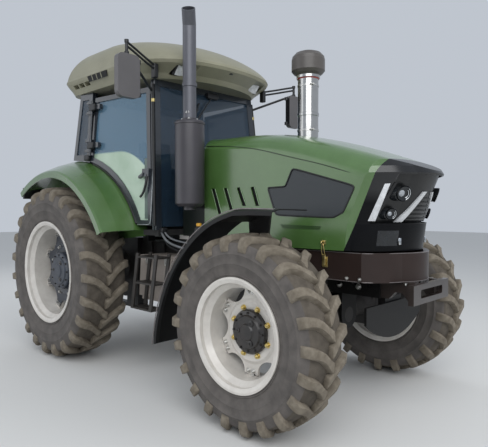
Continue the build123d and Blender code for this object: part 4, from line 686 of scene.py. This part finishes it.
# above that edge the pane is a light blue-grey, a painted reflection of the sky
# for colours, Mix takes them at its sockets 6 and 7 and gives the result at 2
tint = add(tree, "Mix", {0: edge.outputs["Result"], 6: lower_green.outputs["Color"], 7: tone("56788f")},
           data_type="RGBA")
tree.links.new(tint.outputs[2], face.inputs["Base Color"])
cover = add(tree, "MapRange", {"Value": edge.outputs["Result"]}, to_min=0.96, to_max=0.62)
tree.links.new(cover.outputs["Result"], face.inputs["Alpha"])
face.inputs["Roughness"].default_value = 0.04
door_glass_tones.surface_render_method = "BLENDED"
paint(door_glass_tones, "door_glass_left", "door_glass_right")

# the front pillar and the windscreen lean back from the sill
PILLAR_FOOT_X, PILLAR_RAKE, SILL_Z = 0.1225, 0.0786, 1.32


def pillar_x(z):
    """Front face of the pillar and of the windscreen at a height."""
    return PILLAR_FOOT_X - PILLAR_RAKE * (z - SILL_Z)


# the leaning plane of the cab's side, from the front pillar's foot to the rear pillar's
FOOT, TAIL, LEAN = Vector((PILLAR_FOOT_X, 0.700, SILL_Z)), Vector((-1.2275, 0.860, SILL_Z)), 0.0655
ALONG = (TAIL - FOOT).normalized()
OUT = ALONG.cross(Vector((0, -LEAN, 1))).normalized()
UP = OUT.cross(ALONG).normalized()


def on_side(x, z, proud):
    """Point on the right side of the cab at a given x and height."""
    spot = FOOT + ALONG * ((FOOT.x - x) / -ALONG.x) + OUT * proud
    spot += UP * ((z - spot.z) / UP.z)
    return Vector((spot.x, -spot.y, spot.z))


DOORS = ("right_door", "left_door")
REAR_AXLE_X, REAR_AXLE_Z = -1.1675, 0.855
ARC = 0.855 + 0.273 + 0.012  # tyre, raised inner part of the fender above it, half its gap to the door
turns = [math.radians(a) for a in (26, 32, 38, 44, 50, 56, 62, 68, 72)]
arc = [on_side(REAR_AXLE_X + ARC * math.cos(a), REAR_AXLE_Z + ARC * math.sin(a), 0.012) for a in turns]
both_sides(tube("door_seal_right", arc, 0.011, seal_rubber, rings=8))
# chromed bead, rubber drain and brass-coloured clip on the front pillar
for name, back, proud, heights, radius, made in (
        ("bead", 0.034, 0.012, (1.36, 1.8, 2.2, 2.60), 0.006, chrome),
        ("drain", 0.012, 0.022, (1.34, 1.8, 2.2, 2.62), 0.013, seal_rubber)):
    line = [on_side(pillar_x(z) - back, z, proud) for z in heights]
    both_sides(tube(f"pillar_{name}_right", line, radius, made, rings=6))
both_sides(turned("pillar_clip_right", [(0.013, -0.016), (0.017, -0.014), (0.017, 0.014), (0.013, 0.016)],
                  on_side(pillar_x(2.47) - 0.012, 2.47, 0.022), "Z", yellow_zinc, steps=24))
# hinge bar between the two hinge blocks, and their covers
HINGE_X = -0.8425
top, low = on_side(HINGE_X, 2.56, 0.042), on_side(HINGE_X, 2.02, 0.042)
both_sides(tube("hinge_bar_right", [top, (top + low) / 2, low], 0.012, frame_black), *DOORS)
for i, z in enumerate((2.500, 2.120)):
    at = on_side(HINGE_X + 0.02, z, 0.044)
    both_sides(block(f"hinge_cover_{i}_right", at - Vector((0.055, 0.022, 0.032)),
                     at + Vector((0.055, 0.014, 0.032)), 0.010, moulded_black), *DOORS)
# bright edge of the door's frame, the rail behind the glass, and the outside lever
edge_line = finish("door_edge_alloy", "9aa0a2", "b4b9ba", scale=30.0, rough=0.3, Metallic=0.8)
line = [on_side(x, z, 0.018) for x, z in ((0.052, 1.90), (0.052, 1.70), (0.052, 1.50), (0.052, 1.375),
                                          (0.040, 1.352), (0.0, 1.346), (-0.12, 1.346))]
both_sides(tube("door_edge_right", line, 0.0045, edge_line, rings=6), *DOORS)
# grey-green paint, as it shows through the pane
rail_grey = finish("door_rail_grey", "4a5954", "57665f", scale=12.0, rough=0.35)
rail = [on_side(x, z, 0.007) for x, z in ((-0.072, 1.95), (0.006, 1.95), (0.030, 1.40), (-0.034, 1.40))]
both_sides(plate("door_rail_right", rail, 0.003, rail_grey), *DOORS)
lever = [on_side(x, z, proud) for x, z, proud in ((-0.004, 1.80, 0.030), (-0.006, 1.735, 0.038),
                                                  (-0.025, 1.66, 0.040), (-0.052, 1.615, 0.038),
                                                  (-0.080, 1.600, 0.034))]
both_sides(tube("door_lever_right", lever, 0.011, moulded_black), *DOORS)
# small marker lamp on the pillar below the lower hinge
at = on_side(HINGE_X - 0.02, 2.005, 0.03)
both_sides(block("marker_lamp_right", at - Vector((0.080, 0.022, 0.028)), at + Vector((0.010, 0.012, 0.028)),
                 0.010, moulded_black))


# ------------------------------------------------------------ wiper
# Pressed steel arm and a rubber blade on the windscreen. The motor that turns them is behind a moulded
# cover at the top of the glass.
def on_screen(y, z, proud):
    """Point just ahead of the windscreen at a given height."""
    return Vector((pillar_x(z) - 0.018 + proud, y, z))


tube("wiper_arm", [on_screen(0.05, 2.60, 0.03), on_screen(0.02, 2.58, 0.035), on_screen(-0.12, 2.40, 0.022),
                   on_screen(-0.22, 2.28, 0.018)], 0.006, moulded_black, "chassis")
tube("wiper_blade", [on_screen(y, z, 0.012) for y, z in ((-0.12, 2.52), (-0.22, 2.28), (-0.30, 2.06))],
     0.007, seal_rubber, "chassis")
block("wiper_motor_cover", on_screen(-0.02, 2.585, 0.004), on_screen(0.12, 2.64, 0.044), 0.006, moulded_black,
      "chassis")

# ------------------------------------------------------------ roof
# Vacuum-formed cap in khaki plastic with a fine matt grain; its pale khaki is partly a painted reflection
# of the sky. Two work lamps sit in the pockets of the front visor; two more face back. A dark plate of
# painted shade stands for the slots that let the cab's fan breathe.
roof_khaki_and_sky = finish("roof_khaki_painted_sky", "7d7b68", "888672", scale=4.0, rough=0.42, grain=0.0003,
                      grain_scale=500.0)
paint(roof_khaki_and_sky, "roof")
roof_low = Vector(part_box("roof")[0])
for name, side in SIDES.items():
    at = Vector((0.195, side * 0.455, 2.730))
    tilt = about(at, Matrix.Rotation(math.radians(38), 4, "Y"))
    lamp = block(f"front_work_lamp_{name}", at - Vector((0.060, 0.092, 0.058)),
                 at + Vector((-0.004, 0.092, 0.058)), 0.010, moulded_black)
    lens = block(f"front_work_lens_{name}", at - Vector((0.008, 0.080, 0.048)),
                 at + Vector((0.004, 0.080, 0.048)), 0.005, guide_white)
    for piece in (lamp, lens):
        piece.data.transform(tilt)
        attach(piece, "chassis")
    back = Vector((roof_low.x, side * 0.55, roof_low.z))
    block(f"rear_work_lamp_{name}", back + Vector((-0.002, -0.07, 0.11)),
          back + Vector((0.05, 0.07, 0.165)), 0.008, moulded_black, "chassis")
    block(f"rear_work_lens_{name}", back + Vector((-0.006, -0.06, 0.118)),
          back + Vector((0.002, 0.06, 0.158)), 0.003, guide_white, "chassis")
turned("visor_sensor", [(0, 0.0), (0.036, 0.0), (0.036, -0.014), (0.026, -0.020), (0.012, -0.016),
                        (0, -0.016)], (0.345, -0.02, 2.772), "Z", moulded_black, "chassis", steps=28)
# vent in the rim: slanting fins over a dark plate of painted shade
vent = plate("roof_vent_right", [(-0.80, -0.8515, 2.792), (-0.45, -0.8515, 2.792), (-0.47, -0.8275, 2.742),
                                 (-0.80, -0.8275, 2.742)], 0.006, baffle_black)
fins = joined("roof_vent_fins_right", [
    plate("fin", [(x, -0.8535, 2.790), (x + 0.012, -0.8535, 2.790), (x + 0.002, -0.8295, 2.744),
                  (x - 0.010, -0.8295, 2.744)], 0.006, roof_khaki_and_sky)
    for x in (-0.72, -0.64, -0.56)])
for piece in (vent, fins):
    both_sides(piece)

# ------------------------------------------------------------ exhaust and pre-cleaner
# Muffler in dark heat-proof paint with clamps on its pipes, the stack in dull aluminium paint; the
# air pre-cleaner is a stainless tube with two band clamps under a smoked grey bowl.
paint(banded("exhaust_paint", "Z", [(1.4, "3e3c40", 0.36, 0.1), (2.25, "5a5b61", 0.42, 0.4)]), "exhaust")
paint(banded("pre_cleaner_finish", "Z", [(2.0, "b4b4b2", 0.18, 1.0), (2.58, "4d4946", 0.38, 0.0)], 0.0001),
      "pre_cleaner")


def clamp(name, centre, radius, body, turn, wide=0.016):
    """Zinc-plated band clamp about an upright pipe, with its ears and draw bolt towards an angle."""
    half, outer = wide / 2, radius + 0.003
    pieces = [turned("band", [(radius, -half), (outer, -half), (outer, half), (radius, half)], centre, "Z",
                     bright_zinc, steps=40)]
    reach = centre + Vector((radius + 0.012, 0, 0))
    for side in SIDES.values():
        pieces.append(block("ear", reach + Vector((-0.012, side * 0.008 - 0.002, -half)),
                            reach + Vector((0.012, side * 0.008 + 0.002, half)), 0.001, bright_zinc))
    pieces.append(tube("bolt", [reach + Vector((0.003, -0.020, 0)), reach, reach + Vector((0.003, 0.020, 0))],
                       0.0035, bright_zinc))
    whole = joined(name, pieces)
    whole.data.transform(about(centre, Matrix.Rotation(turn, 4, "Z")))
    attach(whole, body)


STACK = Vector((0.4625, -0.610, 0))
for i, (z, radius) in enumerate(((1.560, 0.0545), (2.300, 0.0385))):
    clamp(f"exhaust_clamp_{i}", STACK + Vector((0, 0, z)), radius, "chassis", -1.0, wide=0.022)
corners = [math.pi / 4 + i * math.pi / 2 for i in range(4)]
joined("muffler_bolts", [nut(STACK + Vector((0.062 * math.cos(a), 0.062 * math.sin(a), 2.244)), (0, 0, 1),
                             0.016, 0.010, bright_zinc) for a in corners], "chassis")
CLEANER = Vector((1.2525, 0, 0))
for name, z in (("low", 2.135), ("high", 2.50)):
    clamp(f"pre_cleaner_clamp_{name}", CLEANER + Vector((0, 0, z)), 0.0855, "hood", -0.6)
turned("pre_cleaner_gasket", [(0.084, 2.552), (0.0895, 2.554), (0.0905, 2.560), (0.0895, 2.566),
                              (0.084, 2.568)], CLEANER, "Z",
       finish("red_gasket", "7c3029", "8f3b33", scale=40.0, rough=0.6), "hood", steps=48)

# ------------------------------------------------------------ mirrors
# Moulded housings on black steel arms from the front pillars; the glass faces back and is silvered
# behind. A second pair of arms runs from the roof's corner to a swivel pin above each housing.
paint(banded("mirror_mouldings", "Y", [(0.0, "1a1b1d", 0.3, 0.0), (0.972, "535152", 0.42, 0.0)]), "mirrors")
# glass silvered behind: a plain mirror
silvered = finish("silvered_glass", "c9ced1", "d4d8da", scale=4.0, rough=0.02, swing=0.0, Metallic=1.0)
both_sides(block("mirror_glass_right", (0.2145, -1.172, 2.405), (0.2185, -0.988, 2.726), 0.0018, silvered))
for z in (2.43, 2.70):
    both_sides(turned(f"mirror_knuckle_{int(z * 100)}_right",
                      [(0, -0.016), (0.019, -0.016), (0.019, 0.016), (0, 0.016)], (0.235, -0.965, z), "Z",
                      moulded_black, steps=20))
PIN_X, PIN_Y = 0.243, -1.085
both_sides(turned("mirror_pin_right", [(0, 2.735), (0.020, 2.735), (0.020, 2.760), (0.013, 2.768),
                                       (0.013, 2.830), (0.018, 2.835), (0.018, 2.858), (0, 2.860)],
                  (PIN_X, PIN_Y, 0), "Z", moulded_black, steps=24))
for i, drop in enumerate((0.0, 0.034)):
    both_sides(tube(f"mirror_stay_{i}_right", [(PIN_X, PIN_Y, 2.842 - drop), (0.215, -1.00, 2.822 - drop),
                                               (0.165, -0.86, 2.784 - drop), (0.120, -0.725, 2.752 - drop)],
                    0.010, moulded_black))
both_sides(block("mirror_bracket_right", (0.085, -0.735, 2.640), (0.140, -0.690, 2.765), 0.008,
                 moulded_black))

# ------------------------------------------------------------ steps, battery box and fuel tank
# The box is folded steel with a clamped lid and two slanting ribs; the tank is moulded plastic under
# two straps, with a screwed cap. The steps are plain painted steel, bolted below the doors.

# stone grey paint on the box, dull moulded polyethylene on the tank, dark enamel on the steps
paint(finish("battery_box_paint", "877f78", "948b83", scale=6.0, rough=0.4, swing=0.1, grain=0.0003),
      "battery_box")
paint(finish("tank_polyethylene", "1b1c1d", "232425", scale=10.0, rough=0.5, grain=0.0005), "fuel_tank")
paint(finish("step_enamel", "23211f", "2f2b28", scale=14.0, rough=0.45, swing=0.15, grain=0.0003), "steps")
# box paint rubbed down to pale metal along the ribs
pale_rib = finish("worn_rib_edge", "8b857c", "a09a90", scale=22.0, rough=0.4, Metallic=0.4)
BOX_Y = -0.6945  # outer face of the battery box
for i, x in enumerate((-0.062, 0.180)):
    plate(f"box_rib_{i}", [(x, BOX_Y, 0.72), (x + 0.026, BOX_Y, 0.72), (x + 0.060, BOX_Y, 1.03),
                           (x + 0.034, BOX_Y, 1.03)], 0.010, pale_rib, "chassis", edge=0.002)
for i, x in enumerate((-0.06, 0.22)):
    strap = block("strap", (x, -0.699, 0.99), (x + 0.030, -0.694, 1.068), 0.0015, bright_zinc)
    loop = tube("loop", [(x + 0.015, y, z) for y, z in ((-0.703, 1.005), (-0.708, 1.03), (-0.703, 1.058))],
                0.004, bright_zinc)
    joined(f"lid_clip_{i}", [strap, loop], "chassis")
# a tank strap is a round bar flattened to a band: y and z of its line
STRAP = [(0.325, 1.149), (0.33, 1.154), (0.64, 1.154), (0.690, 1.13), (0.699, 1.09), (0.699, 0.62),
         (0.690, 0.575), (0.64, 0.556), (0.33, 0.556)]
for i, x in enumerate((-0.180, 0.160)):
    strap = tube(f"tank_strap_{i}", [(x, y, z) for y, z in STRAP], 0.004, bright_zinc, rings=6)
    strap.data.transform(about((x, 0, 0), Matrix.Scale(5.0, 4, (1, 0, 0))))
    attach(strap, "chassis")
CAP = Vector((0.0125, 0.605, 1.178))
turned("fuel_cap", [(0, -0.008), (0.050, -0.008), (0.050, 0.014), (0.044, 0.022), (0, 0.024)], CAP, "Z",
       moulded_black, "chassis", steps=36)
grip = block("grip", CAP + Vector((0.046, -0.006, -0.006)), CAP + Vector((0.056, 0.006, 0.014)), 0.002,
             moulded_black)
joined("fuel_cap_grips", around(grip, CAP, "Z", 8), "chassis")

# ------------------------------------------------------------ pipes, looms and service points
# Heater and fuel hoses in grey and black rubber run from a moulded fitting below the cab's corner down
# to the bell housing; the screen-wash bottle's yellow cap stands beside the muffler's foot.

# extruded hoses are satin; the loom's cloth tape is matt and coarse
hose_grey = finish("grey_fuel_hose", "55585a", "63666a", scale=20.0, rough=0.5)
hose_black = finish("black_hose_rubber", "17181a", "212224", scale=30.0, rough=0.55, grain=0.0003)
loom_tape = finish("loom_tape", "101112", "1b1c1d", scale=60.0, rough=0.65, grain=0.0008, grain_scale=140.0)
block("pipe_fitting_right", (0.095, -0.676, 1.284), (0.165, -0.616, 1.319), 0.006, moulded_black, "chassis")
tube("heater_hose_right", [(0.115, -0.655, 1.300), (0.135, -0.652, 1.250), (0.175, -0.625, 1.190),
                           (0.260, -0.580, 1.150), (0.380, -0.500, 1.120), (0.460, -0.380, 1.080),
                           (0.520, -0.230, 1.000)], 0.012, hose_grey, "chassis")
tube("fuel_hose_right", [(0.110, -0.630, 1.290), (0.125, -0.622, 1.220), (0.150, -0.600, 1.150),
                         (0.220, -0.520, 1.100), (0.350, -0.380, 1.020), (0.500, -0.232, 0.900)],
     0.009, hose_black, "chassis")
tube("return_hose_right", [(0.140, -0.640, 1.300), (0.160, -0.632, 1.255), (0.210, -0.600, 1.215),
                           (0.310, -0.550, 1.190), (0.430, -0.450, 1.160), (0.500, -0.300, 1.100),
                           (0.520, -0.230, 1.060)], 0.009, hose_grey, "chassis")
tube("loom_left", [(0.140, 0.380, 1.30), (0.300, 0.360, 1.25), (0.420, 0.300, 1.14), (0.500, 0.235, 1.05),
                   (0.620, 0.238, 1.00)], 0.016, loom_tape, "chassis")
BOTTLE = (0.475, -0.520, 0)
turned("wash_bottle", [(0, 1.16), (0.040, 1.16), (0.040, 1.312), (0.030, 1.330), (0.020, 1.334),
                       (0.020, 1.345), (0, 1.345)], BOTTLE, "Z", moulded_black, "chassis", steps=28)
turned("wash_bottle_cap", [(0, 1.340), (0.024, 1.340), (0.024, 1.358), (0.019, 1.366), (0, 1.367)], BOTTLE,
       "Z", finish("yellow_moulding", "c08d1e", "d09c2c", scale=30.0, rough=0.4), "chassis", steps=28)

# ------------------------------------------------------------ seat and controls
# Moulded foam under black woven cloth, its sides piped; the wheel rim is soft black plastic, and the
# dash and side console carry round gauges, rocker switches and short levers.

# matt black weave, its threads drawn 5 mm apart so that they show
seat_cloth, tree, face, place = surface("black_woven_cloth")
warp, weft = [add(tree, "TexWave", {"Vector": place}, wave_type="BANDS", bands_direction=way,
                  scale=60.0).outputs["Fac"] for way in "XY"]
weave = add(tree, "Math", {0: warp, 1: weft}, operation="MULTIPLY").outputs["Value"]
thread = add(tree, "ValToRGB", {"Fac": weave})
thread.color_ramp.elements[0].color, thread.color_ramp.elements[1].color = tone("292b2d"), tone("343638")
tree.links.new(thread.outputs["Color"], face.inputs["Base Color"])
face.inputs["Roughness"].default_value = 0.9
relief = add(tree, "Bump", {"Height": weave}, distance=0.0002, strength=1.0)
tree.links.new(relief.outputs["Normal"], face.inputs["Normal"])
SWELL = 0.014  # no point of the padding moves further than this


def cushion(name, low, high, lean):
    """Padded piece blown up from a rounded block."""
    low, high = Vector(low), Vector(high)
    bpy.ops.object.select_all(action="DESELECT")
    bpy.ops.mesh.primitive_cube_add(size=1.0, location=(low + high) / 2, rotation=(0, lean, 0))
    piece = bpy.context.object
    piece.scale = high - low
    bpy.ops.object.transform_apply(location=True, rotation=True, scale=True)
    bpy.ops.object.mode_set(mode="EDIT")
    bpy.ops.mesh.bevel(offset=0.030, segments=4, affect="EDGES")
    bpy.ops.object.mode_set(mode="OBJECT")
    net = piece.modifiers.new("net", "REMESH")
    net.mode, net.voxel_size = "VOXEL", 0.012
    bpy.ops.object.modifier_apply(modifier="net")
    rest = [v.co.copy() for v in piece.data.vertices]
    blow = piece.modifiers.new("blow", "CLOTH")
    blow.settings.use_pressure, blow.settings.uniform_pressure_force = True, 4.0
    blow.settings.effector_weights.gravity = 0.0
    for tick in range(1, 21):
        bpy.context.scene.frame_set(tick)
    bpy.ops.object.modifier_apply(modifier="blow")
    bpy.context.scene.frame_set(1)
    for v, was in zip(piece.data.vertices, rest):
        step = v.co - was
        if step.length > SWELL:
            v.co = was + step * (SWELL / step.length)
    soft = piece.modifiers.new("soft", "SUBSURF")
    soft.levels = soft.render_levels = 1
    bpy.ops.object.modifier_apply(modifier="soft")
    made = keep(name, seat_cloth, "chassis", smooth=60)
    return made


seat = cushion("seat_pad", (-0.780, -0.225, 1.605), (-0.365, 0.225, 1.690), 0.0)
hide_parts("seat_cushions")
cushion("seat_back", (-0.885, -0.210, 1.690), (-0.800, 0.210, 2.235), -0.135)
# right half of the piping, from the backrest to the middle of the front edge
PIPING = [(-0.775, -0.215, 1.672), (-0.60, -0.228, 1.678), (-0.40, -0.222, 1.675), (-0.362, -0.16, 1.672),
          (-0.356, 0.0, 1.672)]
PIPING += [(x, -y, z) for x, y, z in PIPING[-2::-1]]
tube("seat_piping", PIPING, 0.005, finish("cord_piping", "4a4d4f", "565a5c", scale=60.0, rough=0.8),
     "chassis")
# printed dial faces: off-white, satin
dial_white = finish("dial_face", "c8ccce", "d6dadc", scale=50.0, rough=0.35)
for i, (y, r) in enumerate(((-0.075, 0.042), (0.0, 0.050), (0.075, 0.042))):
    dial = turned(f"dash_dial_{i}", [(0, 0.004), (r * 0.9, 0.004), (r, 0.006), (r, -0.006), (0, -0.006)],
                  (0, 0, 0), "Z", dial_white, steps=32)
    dial.data.transform(Matrix.Translation((-0.130, y, 1.842)) @ Matrix.Rotation(math.radians(-38), 4, "Y"))
    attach(dial, "chassis")
knob_orange = finish("orange_moulding", "a4541c", "b46226", scale=30.0, rough=0.45)
for i, (x, y, made) in enumerate(((-0.62, 0.40, moulded_black), (-0.53, 0.47, knob_orange),
                                  (-0.44, 0.42, moulded_black), (-0.36, 0.49, moulded_black))):
    top = 1.865 + 0.02 * (i % 2)
    tube(f"lever_rod_{i}", [(x, y, 1.755), (x + 0.015, y, 1.81), (x + 0.02, y, top)], 0.006, bright_zinc,
         "chassis")
    turned(f"lever_knob_{i}", [(0, -0.018), (0.012, -0.016), (0.017, 0.0), (0.013, 0.016), (0, 0.020)],
           (x + 0.02, y, top + 0.010), "Z", made, "chassis", steps=20)
for i in range(5):
    block(f"rocker_switch_{i}", (-0.68 + 0.045 * i, 0.525, 1.756), (-0.65 + 0.045 * i, 0.548, 1.766), 0.003,
          moulded_black, "chassis")

# ------------------------------------------------------------ rear lamps, hitch and power take-off
# Tail lamps in red and amber mouldings under the fenders' rear edges. Quick couplers stand in a row on
# the axle housing, and splines run along the shaft below them.

# lens plastic dyed through: deep colours and a hard gloss
lenses = {"red": finish("red_polycarbonate", "7d0d0a", "97140f", scale=30.0, rough=0.12, Coat_Weight=0.6),
          "amber": finish("amber_polycarbonate", "a8520a", "bd6412", scale=30.0, rough=0.12, Coat_Weight=0.6)}
for name, side in SIDES.items():
    y0, y1 = sorted((side * 0.80, side * 1.04))
    block(f"tail_lamp_{name}", (-1.902, y0, 1.600), (-1.868, y1, 1.722), 0.006, moulded_black, "chassis")
    for colour, near, far in (("red", 0.812, 0.92), ("amber", 0.92, 1.028)):
        y0, y1 = sorted((side * near, side * far))
        block(f"tail_{colour}_{name}", (-1.916, y0 + 0.004, 1.614), (-1.900, y1 - 0.004, 1.708), 0.005,
              lenses[colour], "chassis")
for i, y in enumerate((-0.185, -0.125, 0.125, 0.185)):
    turned(f"quick_coupler_{i}", [(0, 0.02), (0.026, 0.02), (0.026, -0.010), (0.021, -0.014), (0.021, -0.030),
                                  (0.025, -0.034), (0.025, -0.052), (0.014, -0.054), (0, -0.054)],
           (-1.4275, y, 1.02), "X", bright_zinc if i % 2 else yellow_zinc, "chassis", steps=28)
tooth = block("tooth", (-1.545, -0.003, 0.714), (-1.495, 0.003, 0.7195), 0.001, steel_bar)
joined("shaft_splines", around(tooth, (-1.52, 0, 0.700), "X", 6), "chassis")

# ------------------------------------------------------------ floor, light and camera
# A plain pale floor under soft light from four square lamps and an even sky. The camera stands ahead
# of the tractor's right front corner, at the height of its lamps.
bpy.ops.mesh.primitive_plane_add(size=60.0, location=(0, 0, 0))
floor = bpy.context.object
floor.name = "studio_floor"
pale = bpy.data.materials.new("pale_floor")
pale.use_nodes = True
pale.node_tree.nodes["Principled BSDF"].inputs["Base Color"].default_value = tone("cfcfcd")
pale.node_tree.nodes["Principled BSDF"].inputs["Roughness"].default_value = 0.85
floor.data.materials.append(pale)

world = bpy.data.worlds.new("studio")
bpy.context.scene.world = world
world.use_nodes = True
world.node_tree.nodes["Background"].inputs["Color"].default_value = (0.80, 0.86, 0.95, 1.0)
world.node_tree.nodes["Background"].inputs["Strength"].default_value = 0.65

AIM = Vector((0, 0, 1.2))
for name, at, size, power in (("key", (5.5, -5.0, 6.5), 8.0, 520.0), ("fill", (7.0, 3.0, 4.0), 5.0, 180.0),
                              ("side", (-6.0, -8.0, 3.5), 8.0, 170.0),
                              ("back", (-6.0, 2.0, 6.0), 7.0, 100.0)):
    lamp = bpy.data.lights.new(name, "AREA")
    lamp.size, lamp.energy = size, power
    holder = bpy.data.objects.new(name, lamp)
    bpy.context.scene.collection.objects.link(holder)
    holder.location = at
    holder.visible_glossy = name in ("key", "side")  # the others stay out of the cab's glass
    holder.rotation_euler = (AIM - Vector(at)).to_track_quat("-Z", "Y").to_euler()

AZIMUTH, PITCH = math.radians(43.868), math.radians(-1.634)
camera = bpy.data.objects.new("camera", bpy.data.cameras.new("camera"))
bpy.context.scene.collection.objects.link(camera)
camera.data.lens, camera.data.sensor_width = 37.5, 36.0
camera.location = (3.8035, -3.419, 1.488)
look = Vector((-math.sin(AZIMUTH) * math.cos(PITCH), math.cos(AZIMUTH) * math.cos(PITCH), math.sin(PITCH)))
camera.rotation_euler = look.to_track_quat("-Z", "Y").to_euler()
bpy.context.scene.camera = camera
bpy.context.scene.view_settings.view_transform = "Standard"
